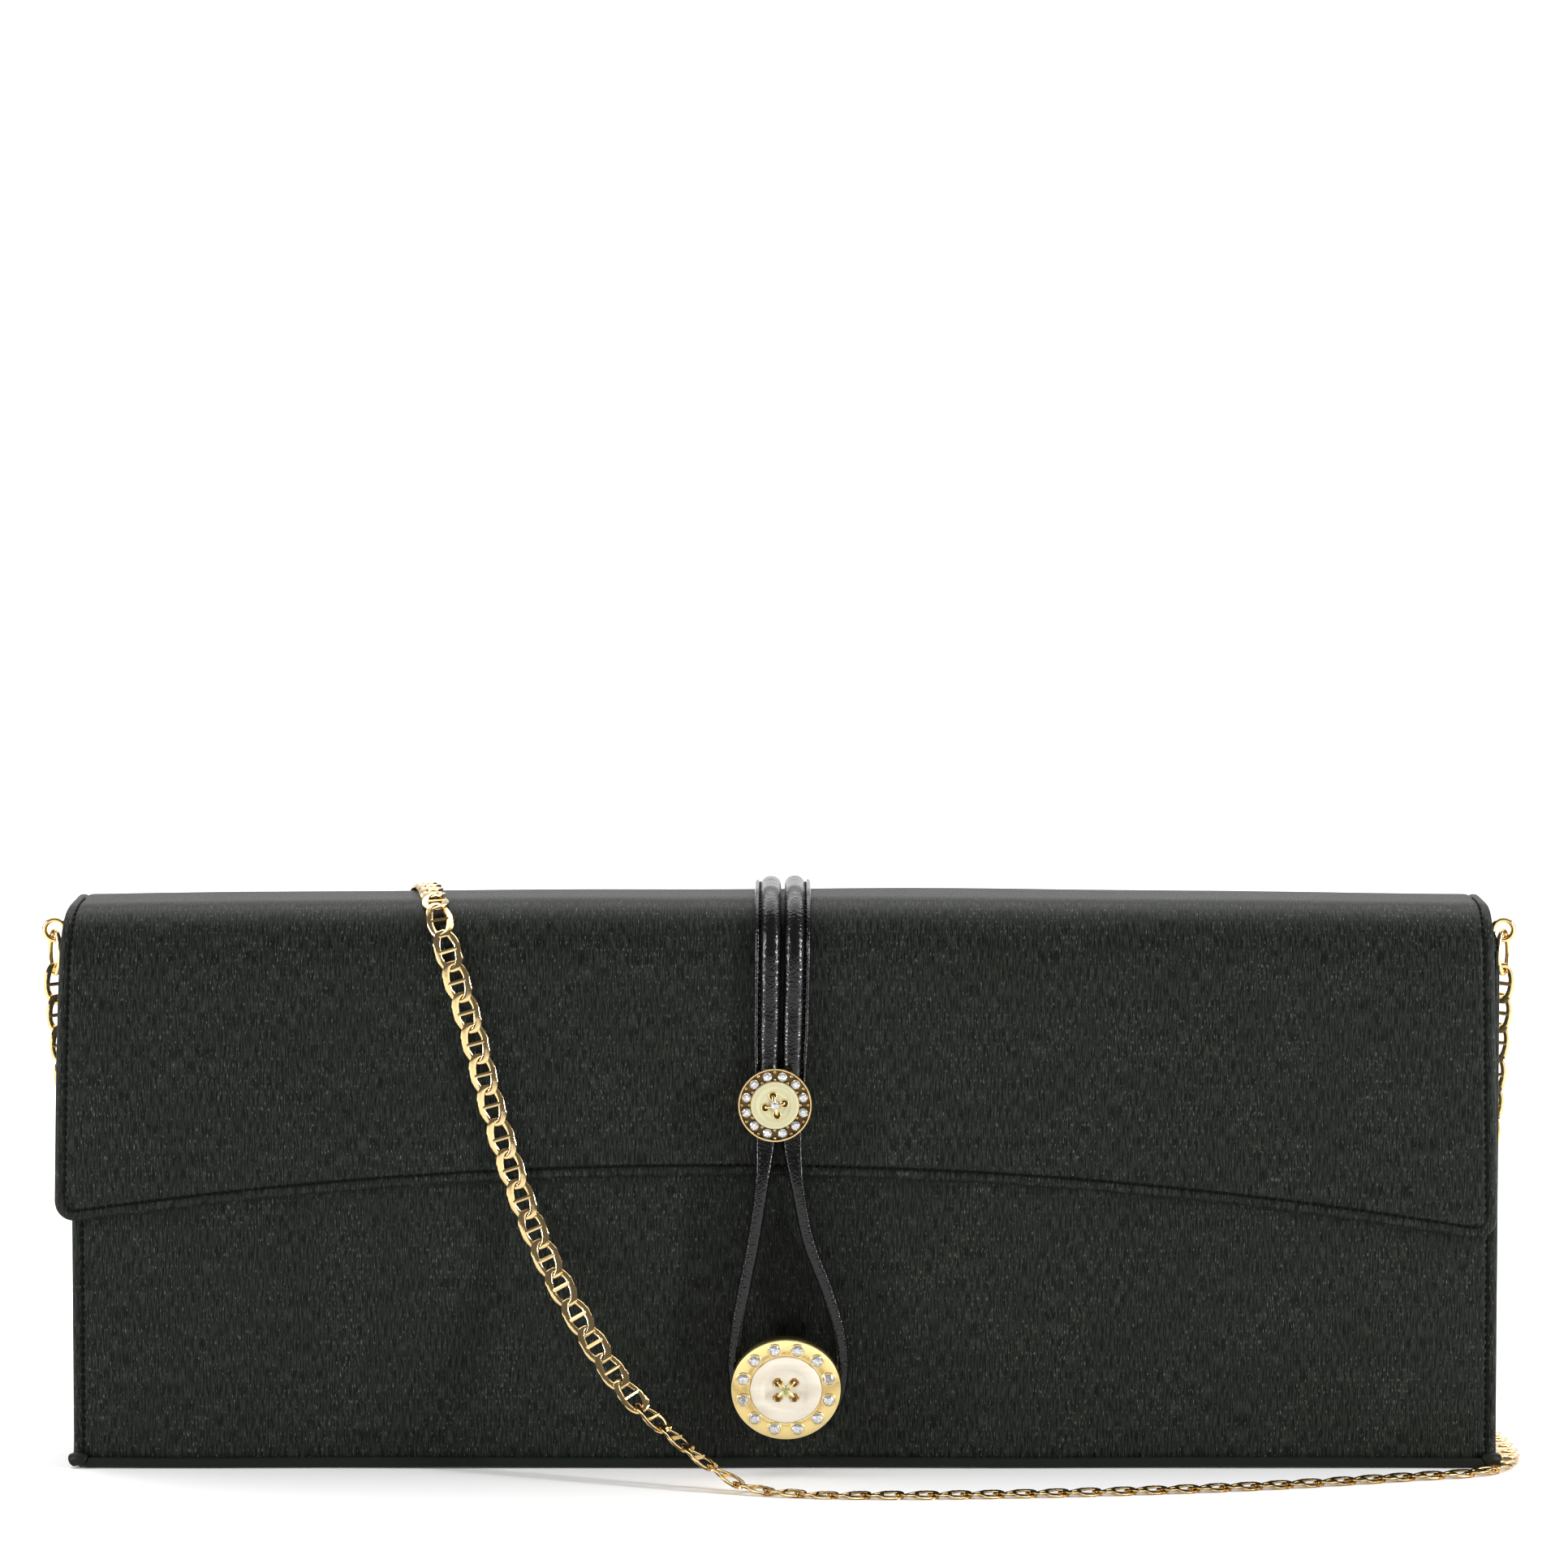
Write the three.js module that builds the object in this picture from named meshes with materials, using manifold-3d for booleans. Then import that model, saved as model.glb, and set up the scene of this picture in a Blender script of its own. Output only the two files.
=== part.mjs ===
// Evening clutch with a curved flap, a leather loop on two set buttons, and a shoulder chain.
// Millimetres, +Z up, +X to the wearer's right as the front is seen, front towards -Y.
// The origin is the centre of the base, on the surface that the purse stands on.
import * as THREE from "three";
import { mergeVertices } from "three/addons/utils/BufferGeometryUtils.js";
import Module from "manifold-3d";

// ---- Driving dimensions ----

const CASE_WIDTH = 306;
const CASE_DEPTH = 36;
const CASE_HEIGHT = 118.3; // at the back
const FRONT_DROP = 10; // the front panel ends this much lower, under the flap's roll
const CASE_CORNER = 3;

const COVER = 0.8; // satin with its backing
const WALL_BOARD = 1.6;
const BASE_BOARD = 2;
const LINING = 0.6;
const LAYER_GAP = 0.1; // between glued layers
const FIT_GAP = 0.3; // between neighbours that touch loosely
const BOARD_INSET = 2.5; // boards stop short of the cover's edges
const MOUTH_INSET = 2; // boards and linings stop short of the mouth

const GUSSET_WALL = 1.2;
const GUSSET_FOLD = 3; // how far the end wall folds in at its middle

const POCKET_WIDTH = 120;
const POCKET_HEIGHT = 60;
const POCKET_BOTTOM = 34;

const WELT_RADIUS = 1;

const FLAP_CLEARANCE = 0.5; // between the closed flap and the case
const FLAP_COVER = 0.8;
const FLAP_BOARD = 0.8;
const FLAP_LINING = 0.4;
const FLAP_OVERHANG = 3; // the flap is this much wider than the case
const FLAP_SHIFT = -1.95; // the flap sits a little to the left of the case
const FLAP_FLARE = 1.2; // each side of the flap widens by this from top to lower edge
const FLAP_ROLL = 12; // radius of the front top edge
const FLAP_CORNER = 5;
const FLAP_FALL = 56.5; // how far its lower edge hangs below its top, at the middle
const FLAP_EDGE_DROP = 12.4; // how much lower the arch's two ends are
const FLAP_EDGE_LEAN = 1.9; // and the right end lower, the left end higher, than that
const FLAP_INNER_INSET = 3;
const FLAP_OPEN_GAP = 0.8; // the flap's solid layers start this far from the hinge line

const STRAP_WIDTH = 5.7;
const STRAP_THICKNESS = 2.6;
const STRAP_GAP = 0.8;
const STRAP_MIDDLE = -0.45; // X of the pair's middle line
const STRAP_START = 5; // distance from the hinge line

const ANCHOR_WIDTH = 17;
const ANCHOR_HEIGHT = 21;
const ANCHOR_THICKNESS = 1.8;
const ANCHOR_CORNER = 4;

const SMALL_X = -2.1;
const SMALL_RISE = 14.9; // middle of the button above the flap's lower edge
const SMALL_RADIUS = 7.9;
const SMALL_DEPTH = 2.8;
const SMALL_RIM = 0.45;
const SMALL_STONE_RADIUS = 1.05;
const SMALL_STONE_ROOM = 0.15; // between the stones and the channel's walls
const SMALL_HOLE_RADIUS = 0.7;
const SMALL_HOLE_CIRCLE = 1.95;
const SMALL_HOLE_TURN = 12; // degrees from upright
const SMALL_POST_RADIUS = 1;
const SMALL_CHANNEL = 1.5; // depth of the stones' channel
const SMALL_SEAT = 0.7; // the disc's seat below the rim
const SMALL_CHAMFER = 0.6;
const SMALL_STONE_DEPTH = 0.75; // the stones' girdles below the rim
const SMALL_DISC_RISE = 0.35;
const SMALL_DISC_DIP = 0.05;
const SMALL_CROSS_TOP = 0.55;
const SMALL_CROSS_BOTTOM = -0.5;
const SMALL_CROSS_RADIUS = 0.3;
const SMALL_CENTRE_STONE = 0.9;

const LARGE_X = 0.25;
const LARGE_Z = 18.6;
const LARGE_STANDOFF = 10.6; // middle of the face, out from the front panel
const LARGE_TILT = 15; // degrees, the face looks down
const LARGE_RADIUS = 11.75;
const LARGE_RIM_DEPTH = 2.4;
const LARGE_RING_WIDTH = 4.1; // gold ring round the disc
const LARGE_DRUM_RADIUS = 7;
const LARGE_DRUM_LENGTH = 3.4;
const LARGE_BORE_RADIUS = 2.2;
const LARGE_BORE_DEPTH = 3;
const LARGE_RECESS = 1.2; // the disc's seat below the face
const LARGE_CHAMFER = 0.4;
const LARGE_DISC_RISE = 0.5; // the disc's rim above the face
const LARGE_DISC_DIP = 0.15;
const LARGE_CROSS_TOP = 0.75;
const LARGE_CROSS_BOTTOM = -0.9;
const LARGE_CROSS_RADIUS = 0.4;
const LARGE_CENTRE_STONE = 1.1;
const LARGE_STONE_RADIUS = 1.3;
const LARGE_HOLE_RADIUS = 0.9;
const LARGE_HOLE_CIRCLE = 2.5;
const LARGE_HOLE_TURN = 45;
const LARGE_POST_RADIUS = 1.3;
const WASHER_RADIUS = 5;
const WASHER_THICKNESS = 0.8;

const STONE_COUNT = 12;
const HOLE_COUNT = 4;
const STONE_DEPTH = 0.55; // below the girdle, in radii
const STONE_CROWN = 0.25; // above the girdle, in radii
const STONE_TABLE = 0.6; // radius of the flat top, in radii
const CROSS_BAR = 0.5; // height of the crossed bars
const DISC_LIP = 0.4; // rounding of the disc's rim
const DISC_LIP_INNER = 0.78; // where the rim ends, in disc radii
const DISC_DIP_OUTER = 0.7; // where the dip begins, in disc radii

const LOOP_BAND = 3; // strap seen on edge
const LOOP_DEPTH = 4.4;
const LOOP_SLACK = 3; // between the drum and the loop's rounded end
const LOOP_SHIFT = 0.45; // the loop hangs a little to the right of the button
const LOOP_RISE = 1.9; // and this much above its middle
const LOOP_NECK = 2.8; // half the distance between the two strands at the top
const LOOP_TOP_X = -1.25;
const LOOP_PULL = 0.42; // how far the strands run straight before they curve, in loop heights

const EYE_RADIUS = 2.2;
const EYE_WIRE = 0.62;
const EYE_INSET = 6; // from the back of the case
const EYE_DROP = 4.3; // below the back's top edge
const EYE_REACH_LEFT = 3.3; // gap between the case's end and the ring
const EYE_REACH_RIGHT = 0.8;
const EYE_PIN_RADIUS = 0.7;
const EYE_PIN_LENGTH = 6;

const RING_HALF_HEIGHT = 3.8;
const RING_HALF_WIDTH = 2.05;
const RING_RADIUS = 2.85;
const RING_WIRE = 0.45;
const RING_TURN = 35; // degrees about the vertical

const CHAIN_DIAMETER = 3;
const CHAIN_DRAPE_START = 0.23; // the part that lies on the flap, in shares of the length
const CHAIN_DRAPE_END = 0.5;

// ---- Sizes worked out from them ----

const HALF_WIDTH = CASE_WIDTH / 2;
const HALF_DEPTH = CASE_DEPTH / 2;
const WALL = COVER + WALL_BOARD + LINING + 2 * LAYER_GAP;
const FLOOR = COVER + BASE_BOARD + LINING + 2 * LAYER_GAP;
const FLAP_THICKNESS = FLAP_COVER + FLAP_BOARD + FLAP_LINING + 2 * LAYER_GAP;
const FLAP_TOP = CASE_HEIGHT + FLAP_CLEARANCE + FLAP_THICKNESS;
const FLAP_FRONT = -(HALF_DEPTH + FLAP_CLEARANCE + FLAP_THICKNESS);
const FLAP_WIDTH = CASE_WIDTH + FLAP_OVERHANG;
const HINGE_Y = HALF_DEPTH;
const FLAP_EDGE_HEIGHT = FLAP_TOP - FLAP_FALL;
const EYE_Y = HALF_DEPTH - EYE_INSET;
const EYE_Z = CASE_HEIGHT - EYE_DROP;
const STRAP_FACE = FLAP_FRONT - LAYER_GAP - STRAP_THICKNESS;
const SMALL_FACE = STRAP_FACE - FIT_GAP - SMALL_DEPTH;
const SMALL_Z = FLAP_EDGE_HEIGHT + SMALL_RISE;
const SMALL_STONE_CIRCLE = SMALL_RADIUS - SMALL_RIM - SMALL_STONE_ROOM - SMALL_STONE_RADIUS;
const SMALL_DISC_RADIUS = SMALL_STONE_CIRCLE - SMALL_STONE_RADIUS - SMALL_STONE_ROOM;
const LARGE_DISC_RADIUS = LARGE_RADIUS - LARGE_RING_WIDTH;
const LARGE_STONE_CIRCLE = LARGE_RADIUS - LARGE_RING_WIDTH / 2 - FIT_GAP;
const LOOP_INNER_RADIUS = LARGE_DRUM_RADIUS + LOOP_SLACK;
const LOOP_X = LARGE_X + LOOP_SHIFT;
const LOOP_Z = LARGE_Z + LOOP_RISE;
const LARGE_FACE = -(HALF_DEPTH + LARGE_STANDOFF);
const DRUM_BACK = LARGE_RIM_DEPTH + LARGE_DRUM_LENGTH;
const TILT = THREE.MathUtils.degToRad(LARGE_TILT);
const POST_REACH = 0.55; // how deep the post stands in the drum's bore, in bore depths
const POST_AIM = POST_REACH / 2; // the depth where its middle meets the bore's
const POST_Z = LARGE_Z + (DRUM_BACK - LARGE_BORE_DEPTH * POST_AIM) * Math.sin(TILT);
const POST_END = LARGE_FACE + (DRUM_BACK - LARGE_BORE_DEPTH * POST_REACH) * Math.cos(TILT);
const PIN_CLEARANCE = 0.25;

// ---- Materials ----

const finish = (color, roughness, metalness) =>
  new THREE.MeshStandardMaterial({ color, roughness, metalness });
const satin = finish(0x2a2e2b, 0.55, 0);
const lining = finish(0x17181a, 0.6, 0);
const board = finish(0x8a8376, 0.9, 0);
const leather = finish(0x111315, 0.35, 0);
const gold = finish(0xd8b25a, 0.22, 1);
const pearl = finish(0xefe6cf, 0.3, 0);
const crystal = finish(0xe8eef2, 0.05, 0);
const peridot = finish(0xc9cf8a, 0.08, 0);

// ---- Solids ----

const wasm = await Module();
wasm.setup();

// A three.js geometry as a solid that can be joined and cut.
function solidOf(geometry) {
  const bare = geometry.index ? geometry.toNonIndexed() : geometry.clone();
  bare.deleteAttribute("normal");
  bare.deleteAttribute("uv");
  const merged = mergeVertices(bare, 1e-4);
  return new wasm.Manifold(
    new wasm.Mesh({
      numProp: 3,
      vertProperties: merged.attributes.position.array,
      triVerts: new Uint32Array(merged.index.array),
    }),
  );
}

function geometryOf(solid) {
  const mesh = solid.getMesh();
  const geometry = new THREE.BufferGeometry();
  geometry.setAttribute("position", new THREE.BufferAttribute(mesh.vertProperties, 3));
  geometry.setIndex(new THREE.BufferAttribute(mesh.triVerts, 1));
  geometry.computeVertexNormals();
  return geometry;
}

const cut = (geometry, ...cutters) =>
  geometryOf(cutters.reduce((left, cutter) => left.subtract(solidOf(cutter)), solidOf(geometry)));
const join = (first, ...others) =>
  geometryOf(others.reduce((sum, other) => sum.add(solidOf(other)), solidOf(first)));
const common = (first, second) => geometryOf(solidOf(first).intersect(solidOf(second)));

function part(group, name, geometry, material) {
  const mesh = new THREE.Mesh(geometry, material);
  mesh.name = name;
  group.add(mesh);
  return mesh;
}

// ---- Shape helpers ----

// A box given by its low and high corners.
function slab(low, high) {
  const box = new THREE.BoxGeometry(high[0] - low[0], high[1] - low[1], high[2] - low[2]);
  return box.translate((low[0] + high[0]) / 2, (low[1] + high[1]) / 2, (low[2] + high[2]) / 2);
}

// A rectangle with rounded corners, given by its low and high corners.
function roundedRectangle(low, high, radius) {
  const shape = new THREE.Shape();
  shape.moveTo(low[0] + radius, low[1]);
  shape.lineTo(high[0] - radius, low[1]);
  shape.absarc(high[0] - radius, low[1] + radius, radius, -Math.PI / 2, 0);
  shape.lineTo(high[0], high[1] - radius);
  shape.absarc(high[0] - radius, high[1] - radius, radius, 0, Math.PI / 2);
  shape.lineTo(low[0] + radius, high[1]);
  shape.absarc(low[0] + radius, high[1] - radius, radius, Math.PI / 2, Math.PI);
  shape.lineTo(low[0], low[1] + radius);
  shape.absarc(low[0] + radius, low[1] + radius, radius, Math.PI, 1.5 * Math.PI);
  return shape;
}

const extrude = (shape, depth, curveSegments = 4) =>
  new THREE.ExtrudeGeometry(shape, { depth, curveSegments, bevelEnabled: false });

// An outline drawn in X and Z, as a plate between two Y values.
function plate(shape, front, back, curveSegments) {
  const across = new THREE.Matrix4().makeBasis(
    new THREE.Vector3(1, 0, 0),
    new THREE.Vector3(0, 0, 1),
    new THREE.Vector3(0, -1, 0),
  );
  const geometry = extrude(shape, back - front, curveSegments);
  return geometry.applyMatrix4(across).translate(0, back, 0);
}

// A profile drawn in Y and Z, carried along X.
function rail(shape, left, right, curveSegments) {
  const along = new THREE.Matrix4().makeBasis(
    new THREE.Vector3(0, 1, 0),
    new THREE.Vector3(0, 0, 1),
    new THREE.Vector3(1, 0, 0),
  );
  const geometry = extrude(shape, right - left, curveSegments);
  return geometry.applyMatrix4(along).translate(left, 0, 0);
}

// A turned shape about the local Z axis, from [radius, z] points.
function turned(points, segments) {
  const profile = points.map(([radius, z]) => new THREE.Vector2(radius, z));
  return new THREE.LatheGeometry(profile, segments).rotateX(Math.PI / 2);
}

// A round rod along Y.
function rodY(radius, front, back, x, z, segments = 12) {
  const rod = new THREE.CylinderGeometry(radius, radius, back - front, segments);
  return rod.translate(x, (front + back) / 2, z);
}

// A round rod along X.
function rodX(radius, left, right, y, z, segments = 10) {
  const rod = new THREE.CylinderGeometry(radius, radius, right - left, segments);
  return rod.rotateZ(Math.PI / 2).translate((left + right) / 2, y, z);
}

// ---- Case ----

function panelLayers(group, side) {
  const name = side < 0 ? "front" : "back";
  const outer = HALF_DEPTH;
  const boardFace = outer - COVER - LAYER_GAP;
  const liningFace = boardFace - WALL_BOARD - LAYER_GAP;
  const between = (from, to) => (side < 0 ? [-from, -to] : [to, from]);
  const layer = (inset, low, high, from, to) => {
    const shape = roundedRectangle([-HALF_WIDTH + inset, low], [HALF_WIDTH - inset, high], CASE_CORNER);
    return plate(shape, ...between(from, to));
  };
  const top = side < 0 ? CASE_HEIGHT - FRONT_DROP : CASE_HEIGHT;
  const pieces = {
    cover: [layer(0, 0, top, outer, outer - COVER), satin],
    board: [layer(BOARD_INSET, FLOOR, top - MOUTH_INSET, boardFace, boardFace - WALL_BOARD), board],
    lining: [layer(BOARD_INSET, FLOOR, top - MOUTH_INSET, liningFace, liningFace - LINING), lining],
  };
  for (const [layerName, [geometry, material]] of Object.entries(pieces)) {
    const hole = rodY(LARGE_POST_RADIUS + PIN_CLEARANCE, -outer - 1, 0, LARGE_X, POST_Z);
    part(group, `${name}_${layerName}`, side < 0 ? cut(geometry, hole) : geometry, material);
  }
}

function baseLayers(group) {
  const inside = HALF_DEPTH - COVER - LAYER_GAP;
  const end = HALF_WIDTH - LAYER_GAP;
  const boardBottom = COVER + LAYER_GAP;
  const liningBottom = boardBottom + BASE_BOARD + LAYER_GAP;
  const liningSide = inside - WALL_BOARD - LINING - 2 * LAYER_GAP;
  part(group, "base_cover", slab([-end, -inside, 0], [end, inside, COVER]), satin);
  part(
    group,
    "base_board",
    slab([-end, -inside, boardBottom], [end, inside, boardBottom + BASE_BOARD]),
    board,
  );
  part(
    group,
    "base_lining",
    slab([-end, -liningSide, liningBottom], [end, liningSide, liningBottom + LINING]),
    lining,
  );
}

// The room under the closed flap, in Y and Z: its front top corner follows the flap's roll.
function underFlap() {
  const radius = FLAP_ROLL - FLAP_THICKNESS - FLAP_CLEARANCE;
  const shape = new THREE.Shape();
  shape.moveTo(HALF_DEPTH, 0);
  shape.lineTo(HALF_DEPTH, CASE_HEIGHT);
  shape.lineTo(-HALF_DEPTH + radius, CASE_HEIGHT);
  shape.absarc(-HALF_DEPTH + radius, CASE_HEIGHT - radius, radius, Math.PI / 2, Math.PI);
  shape.lineTo(-HALF_DEPTH, 0);
  return shape;
}

// An end wall whose middle folds into the case, with the eye's pin through its back half.
function gusset(group, side, name) {
  const edge = HALF_DEPTH - COVER - LAYER_GAP;
  const outside = HALF_WIDTH;
  const shape = new THREE.Shape([
    new THREE.Vector2(outside - GUSSET_WALL, -edge),
    new THREE.Vector2(outside, -edge),
    new THREE.Vector2(outside - GUSSET_FOLD, 0),
    new THREE.Vector2(outside, edge),
    new THREE.Vector2(outside - GUSSET_WALL, edge),
    new THREE.Vector2(outside - GUSSET_WALL - GUSSET_FOLD, 0),
  ]);
  const bottom = FLOOR + LAYER_GAP;
  const wall = extrude(shape, CASE_HEIGHT - MOUTH_INSET - bottom).translate(0, 0, bottom);
  if (side < 0) wall.rotateZ(Math.PI);
  const hole = rodX(EYE_PIN_RADIUS + PIN_CLEARANCE, -CASE_WIDTH, CASE_WIDTH, EYE_Y, EYE_Z);
  part(group, name, common(cut(wall, hole), rail(underFlap(), -CASE_WIDTH, CASE_WIDTH, 6)), satin);
}

function slipPocket(group) {
  const back = HALF_DEPTH - WALL - LAYER_GAP;
  const shape = roundedRectangle(
    [-POCKET_WIDTH / 2, POCKET_BOTTOM],
    [POCKET_WIDTH / 2, POCKET_BOTTOM + POCKET_HEIGHT],
    CASE_CORNER,
  );
  part(group, "slip_pocket", plate(shape, back - COVER, back), lining);
}

function frontWelt(group) {
  const y = -HALF_DEPTH - WELT_RADIUS - LAYER_GAP;
  const end = HALF_WIDTH - CASE_CORNER / 2;
  part(group, "front_welt", rodX(WELT_RADIUS, -end, end, y, WELT_RADIUS + FIT_GAP), satin);
}

function strapAnchor(group) {
  const top = CASE_HEIGHT - MOUTH_INSET;
  const shape = roundedRectangle(
    [STRAP_MIDDLE - ANCHOR_WIDTH / 2, top - ANCHOR_HEIGHT],
    [STRAP_MIDDLE + ANCHOR_WIDTH / 2, top],
    ANCHOR_CORNER,
  );
  const front = HALF_DEPTH + LAYER_GAP;
  part(group, "strap_anchor", plate(shape, front, front + ANCHOR_THICKNESS), leather);
}

function largeButtonPost(group) {
  const inside = -(HALF_DEPTH - WALL - LAYER_GAP);
  const washer = rodY(WASHER_RADIUS, inside, inside + WASHER_THICKNESS, LARGE_X, POST_Z, 16);
  const post = rodY(LARGE_POST_RADIUS, POST_END, inside + WASHER_THICKNESS / 2, LARGE_X, POST_Z);
  part(group, "large_button_post", join(washer, post), gold);
}

// ---- Eyes, rings and chain ----

const eyeReach = (side) => (side < 0 ? EYE_REACH_LEFT : EYE_REACH_RIGHT);
const eyeX = (side) => side * (HALF_WIDTH + eyeReach(side) + EYE_RADIUS + EYE_WIRE);

function sideEye(group, side, name) {
  const ring = new THREE.TorusGeometry(EYE_RADIUS, EYE_WIRE, 8, 20).rotateX(Math.PI / 2);
  ring.translate(eyeX(side), EYE_Y, EYE_Z);
  const near = side * (HALF_WIDTH + eyeReach(side) + EYE_WIRE);
  const far = side * (HALF_WIDTH - EYE_PIN_LENGTH);
  const pin = rodX(EYE_PIN_RADIUS, Math.min(near, far), Math.max(near, far), EYE_Y, EYE_Z);
  part(group, name, join(ring, pin), gold);
}

const ringTop = EYE_Z - EYE_RADIUS + EYE_WIRE + RING_WIRE + PIN_CLEARANCE;

function chainRing(group, side, name) {
  const ring = new THREE.TorusGeometry(RING_RADIUS, RING_WIRE, 8, 20);
  ring.scale(RING_HALF_WIDTH / RING_RADIUS, RING_HALF_HEIGHT / RING_RADIUS, 1);
  ring.rotateX(Math.PI / 2).rotateZ(Math.PI / 2 - side * THREE.MathUtils.degToRad(RING_TURN));
  part(group, name, ring.translate(eyeX(side), EYE_Y, ringTop - RING_HALF_HEIGHT), gold);
}

// The chain's route from the left ring to the right one: down and up behind the case, over the top,
// down the flap, along the floor in front, round the right end, and up behind it.
const CHAIN_ROUTE = [
  [-159.1, 12, 104.6],
  [-158.3, 13.5, 92],
  [-156.6, 17.5, 76],
  [-151, 22.5, 58],
  [-142, 25, 43],
  [-118, 27.5, 28],
  [-97, 25, 47],
  [-85, 22.6, 90],
  [-80.2, 21.8, 116],
  [-79.4, 20, 122],
  [-78.3, 15, 124],
  [-75.5, -8.7, 123.6],
  [-74.4, -16.2, 121.8],
  [-73, -21.6, 116.6],
  [-70.8, -23.5, 109],
  [-66.8, -22.9, 95],
  [-61.5, -22.7, 75],
  [-54.2, -23.2, 53.5],
  [-46.2, -26.6, 37.7],
  [-34, -34, 20],
  [-25.3, -39, 12.1],
  [-12, -47, 3.4],
  [2, -52.3, 1.6],
  [23, -54.3, 1.6],
  [62, -51, 1.6],
  [100, -43.5, 1.6],
  [134, -32, 1.6],
  [152, -24.4, 1.6],
  [158.6, -10.5, 1.6],
  [158.8, 8, 1.6],
  [154, 32, 1.6],
  [134, 53, 1.6],
  [108, 58.5, 1.6],
  [90, 48, 1.6],
  [94, 36, 1.8],
  [122, 29.5, 8],
  [146, 24.5, 36],
  [153.5, 22, 60],
  [155.6, 17, 84],
  [156.6, 12, 104.6],
].map(([x, y, z]) => new THREE.Vector3(x, y, z));

// The stretch of a curve between two distances along it.
class Stretch extends THREE.Curve {
  constructor(whole, from, to) {
    super();
    this.whole = whole;
    this.from = from / whole.getLength();
    this.to = to / whole.getLength();
  }
  getPoint(t, target = new THREE.Vector3()) {
    return target.copy(this.whole.getPointAt(this.from + (this.to - this.from) * t));
  }
}

function chain(group) {
  const route = new THREE.CatmullRomCurve3(CHAIN_ROUTE, false, "centripetal");
  route.arcLengthDivisions = 2000;
  const length = route.getLength();
  const section = new THREE.Shape();
  section.absarc(0, 0, CHAIN_DIAMETER / 2, 0, 2 * Math.PI);
  const stretches = [
    ["chain_left", 0, CHAIN_DRAPE_START, 20],
    ["chain_drape", CHAIN_DRAPE_START, CHAIN_DRAPE_END, 34],
    ["chain_right", CHAIN_DRAPE_END, 1, 32],
  ];
  for (const [name, from, to, steps] of stretches) {
    const extrudePath = new Stretch(route, from * length + FIT_GAP / 2, to * length - FIT_GAP / 2);
    const tube = new THREE.ExtrudeGeometry(section, { steps, extrudePath, curveSegments: 4 });
    part(group, name, tube, gold);
  }
}

// ---- Flap ----

// The lower edge: a shallow arch that leans a little down to the right.
function flapEdge(x) {
  const along = (x - FLAP_SHIFT) / (FLAP_WIDTH / 2);
  return FLAP_EDGE_HEIGHT - FLAP_EDGE_DROP * along * along - FLAP_EDGE_LEAN * along;
}

// The flap as seen from the front, smaller by an inset all round.
function flapOutline(inset) {
  const half = FLAP_WIDTH / 2 - inset;
  const left = FLAP_SHIFT - half;
  const right = FLAP_SHIFT + half;
  const steps = 16;
  const arch = [];
  for (let i = 0; i <= steps; i += 1) {
    const x = left + FLAP_CORNER + (i / steps) * (right - left - 2 * FLAP_CORNER);
    arch.push([x, flapEdge(x) + inset]);
  }
  const shape = new THREE.Shape();
  shape.moveTo(left + FLAP_FLARE, FLAP_TOP + 1);
  shape.lineTo(left, arch[0][1] + FLAP_CORNER);
  shape.quadraticCurveTo(left, arch[0][1], ...arch[0]);
  arch.slice(1).forEach(([x, z]) => shape.lineTo(x, z));
  shape.quadraticCurveTo(right, arch[steps][1], right, arch[steps][1] + FLAP_CORNER);
  shape.lineTo(right - FLAP_FLARE, FLAP_TOP + 1);
  return shape;
}

// The band that follows the flap's section between two depths below its outer face,
// from a distance short of the hinge line, over the front roll, down to a height.
function flapBand(outer, inner, fromHinge, bottom) {
  const start = HINGE_Y - fromHinge;
  const rollY = FLAP_FRONT + FLAP_ROLL;
  const rollZ = FLAP_TOP - FLAP_ROLL;
  const shape = new THREE.Shape();
  shape.moveTo(start, FLAP_TOP - outer);
  shape.lineTo(rollY, FLAP_TOP - outer);
  shape.absarc(rollY, rollZ, FLAP_ROLL - outer, Math.PI / 2, Math.PI);
  shape.lineTo(FLAP_FRONT + outer, bottom);
  shape.lineTo(FLAP_FRONT + inner, bottom);
  shape.lineTo(FLAP_FRONT + inner, rollZ);
  shape.absarc(rollY, rollZ, FLAP_ROLL - inner, Math.PI, Math.PI / 2, true);
  shape.lineTo(start, FLAP_TOP - inner);
  return shape;
}

function flapLayer(group, name, outer, thickness, inset, material) {
  const lowest = FLAP_EDGE_HEIGHT - FLAP_EDGE_DROP - FLAP_EDGE_LEAN - 5;
  const band = flapBand(outer, outer + thickness, FLAP_OPEN_GAP + inset, lowest);
  const whole = rail(band, -FLAP_WIDTH, FLAP_WIDTH, 8);
  const outline = plate(flapOutline(inset), FLAP_FRONT - 1, HINGE_Y + 1);
  const hole = rodY(SMALL_POST_RADIUS + PIN_CLEARANCE, FLAP_FRONT - 1, 0, SMALL_X, SMALL_Z);
  part(group, name, cut(common(whole, outline), hole), material);
}

function flapLayers(group) {
  const boardDepth = FLAP_COVER + LAYER_GAP;
  const liningDepth = boardDepth + FLAP_BOARD + LAYER_GAP;
  flapLayer(group, "flap_cover", 0, FLAP_COVER, 0, satin);
  flapLayer(group, "flap_board", boardDepth, FLAP_BOARD, FLAP_INNER_INSET, board);
  flapLayer(group, "flap_lining", liningDepth, FLAP_LINING, FLAP_INNER_INSET / 2, lining);
}

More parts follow.
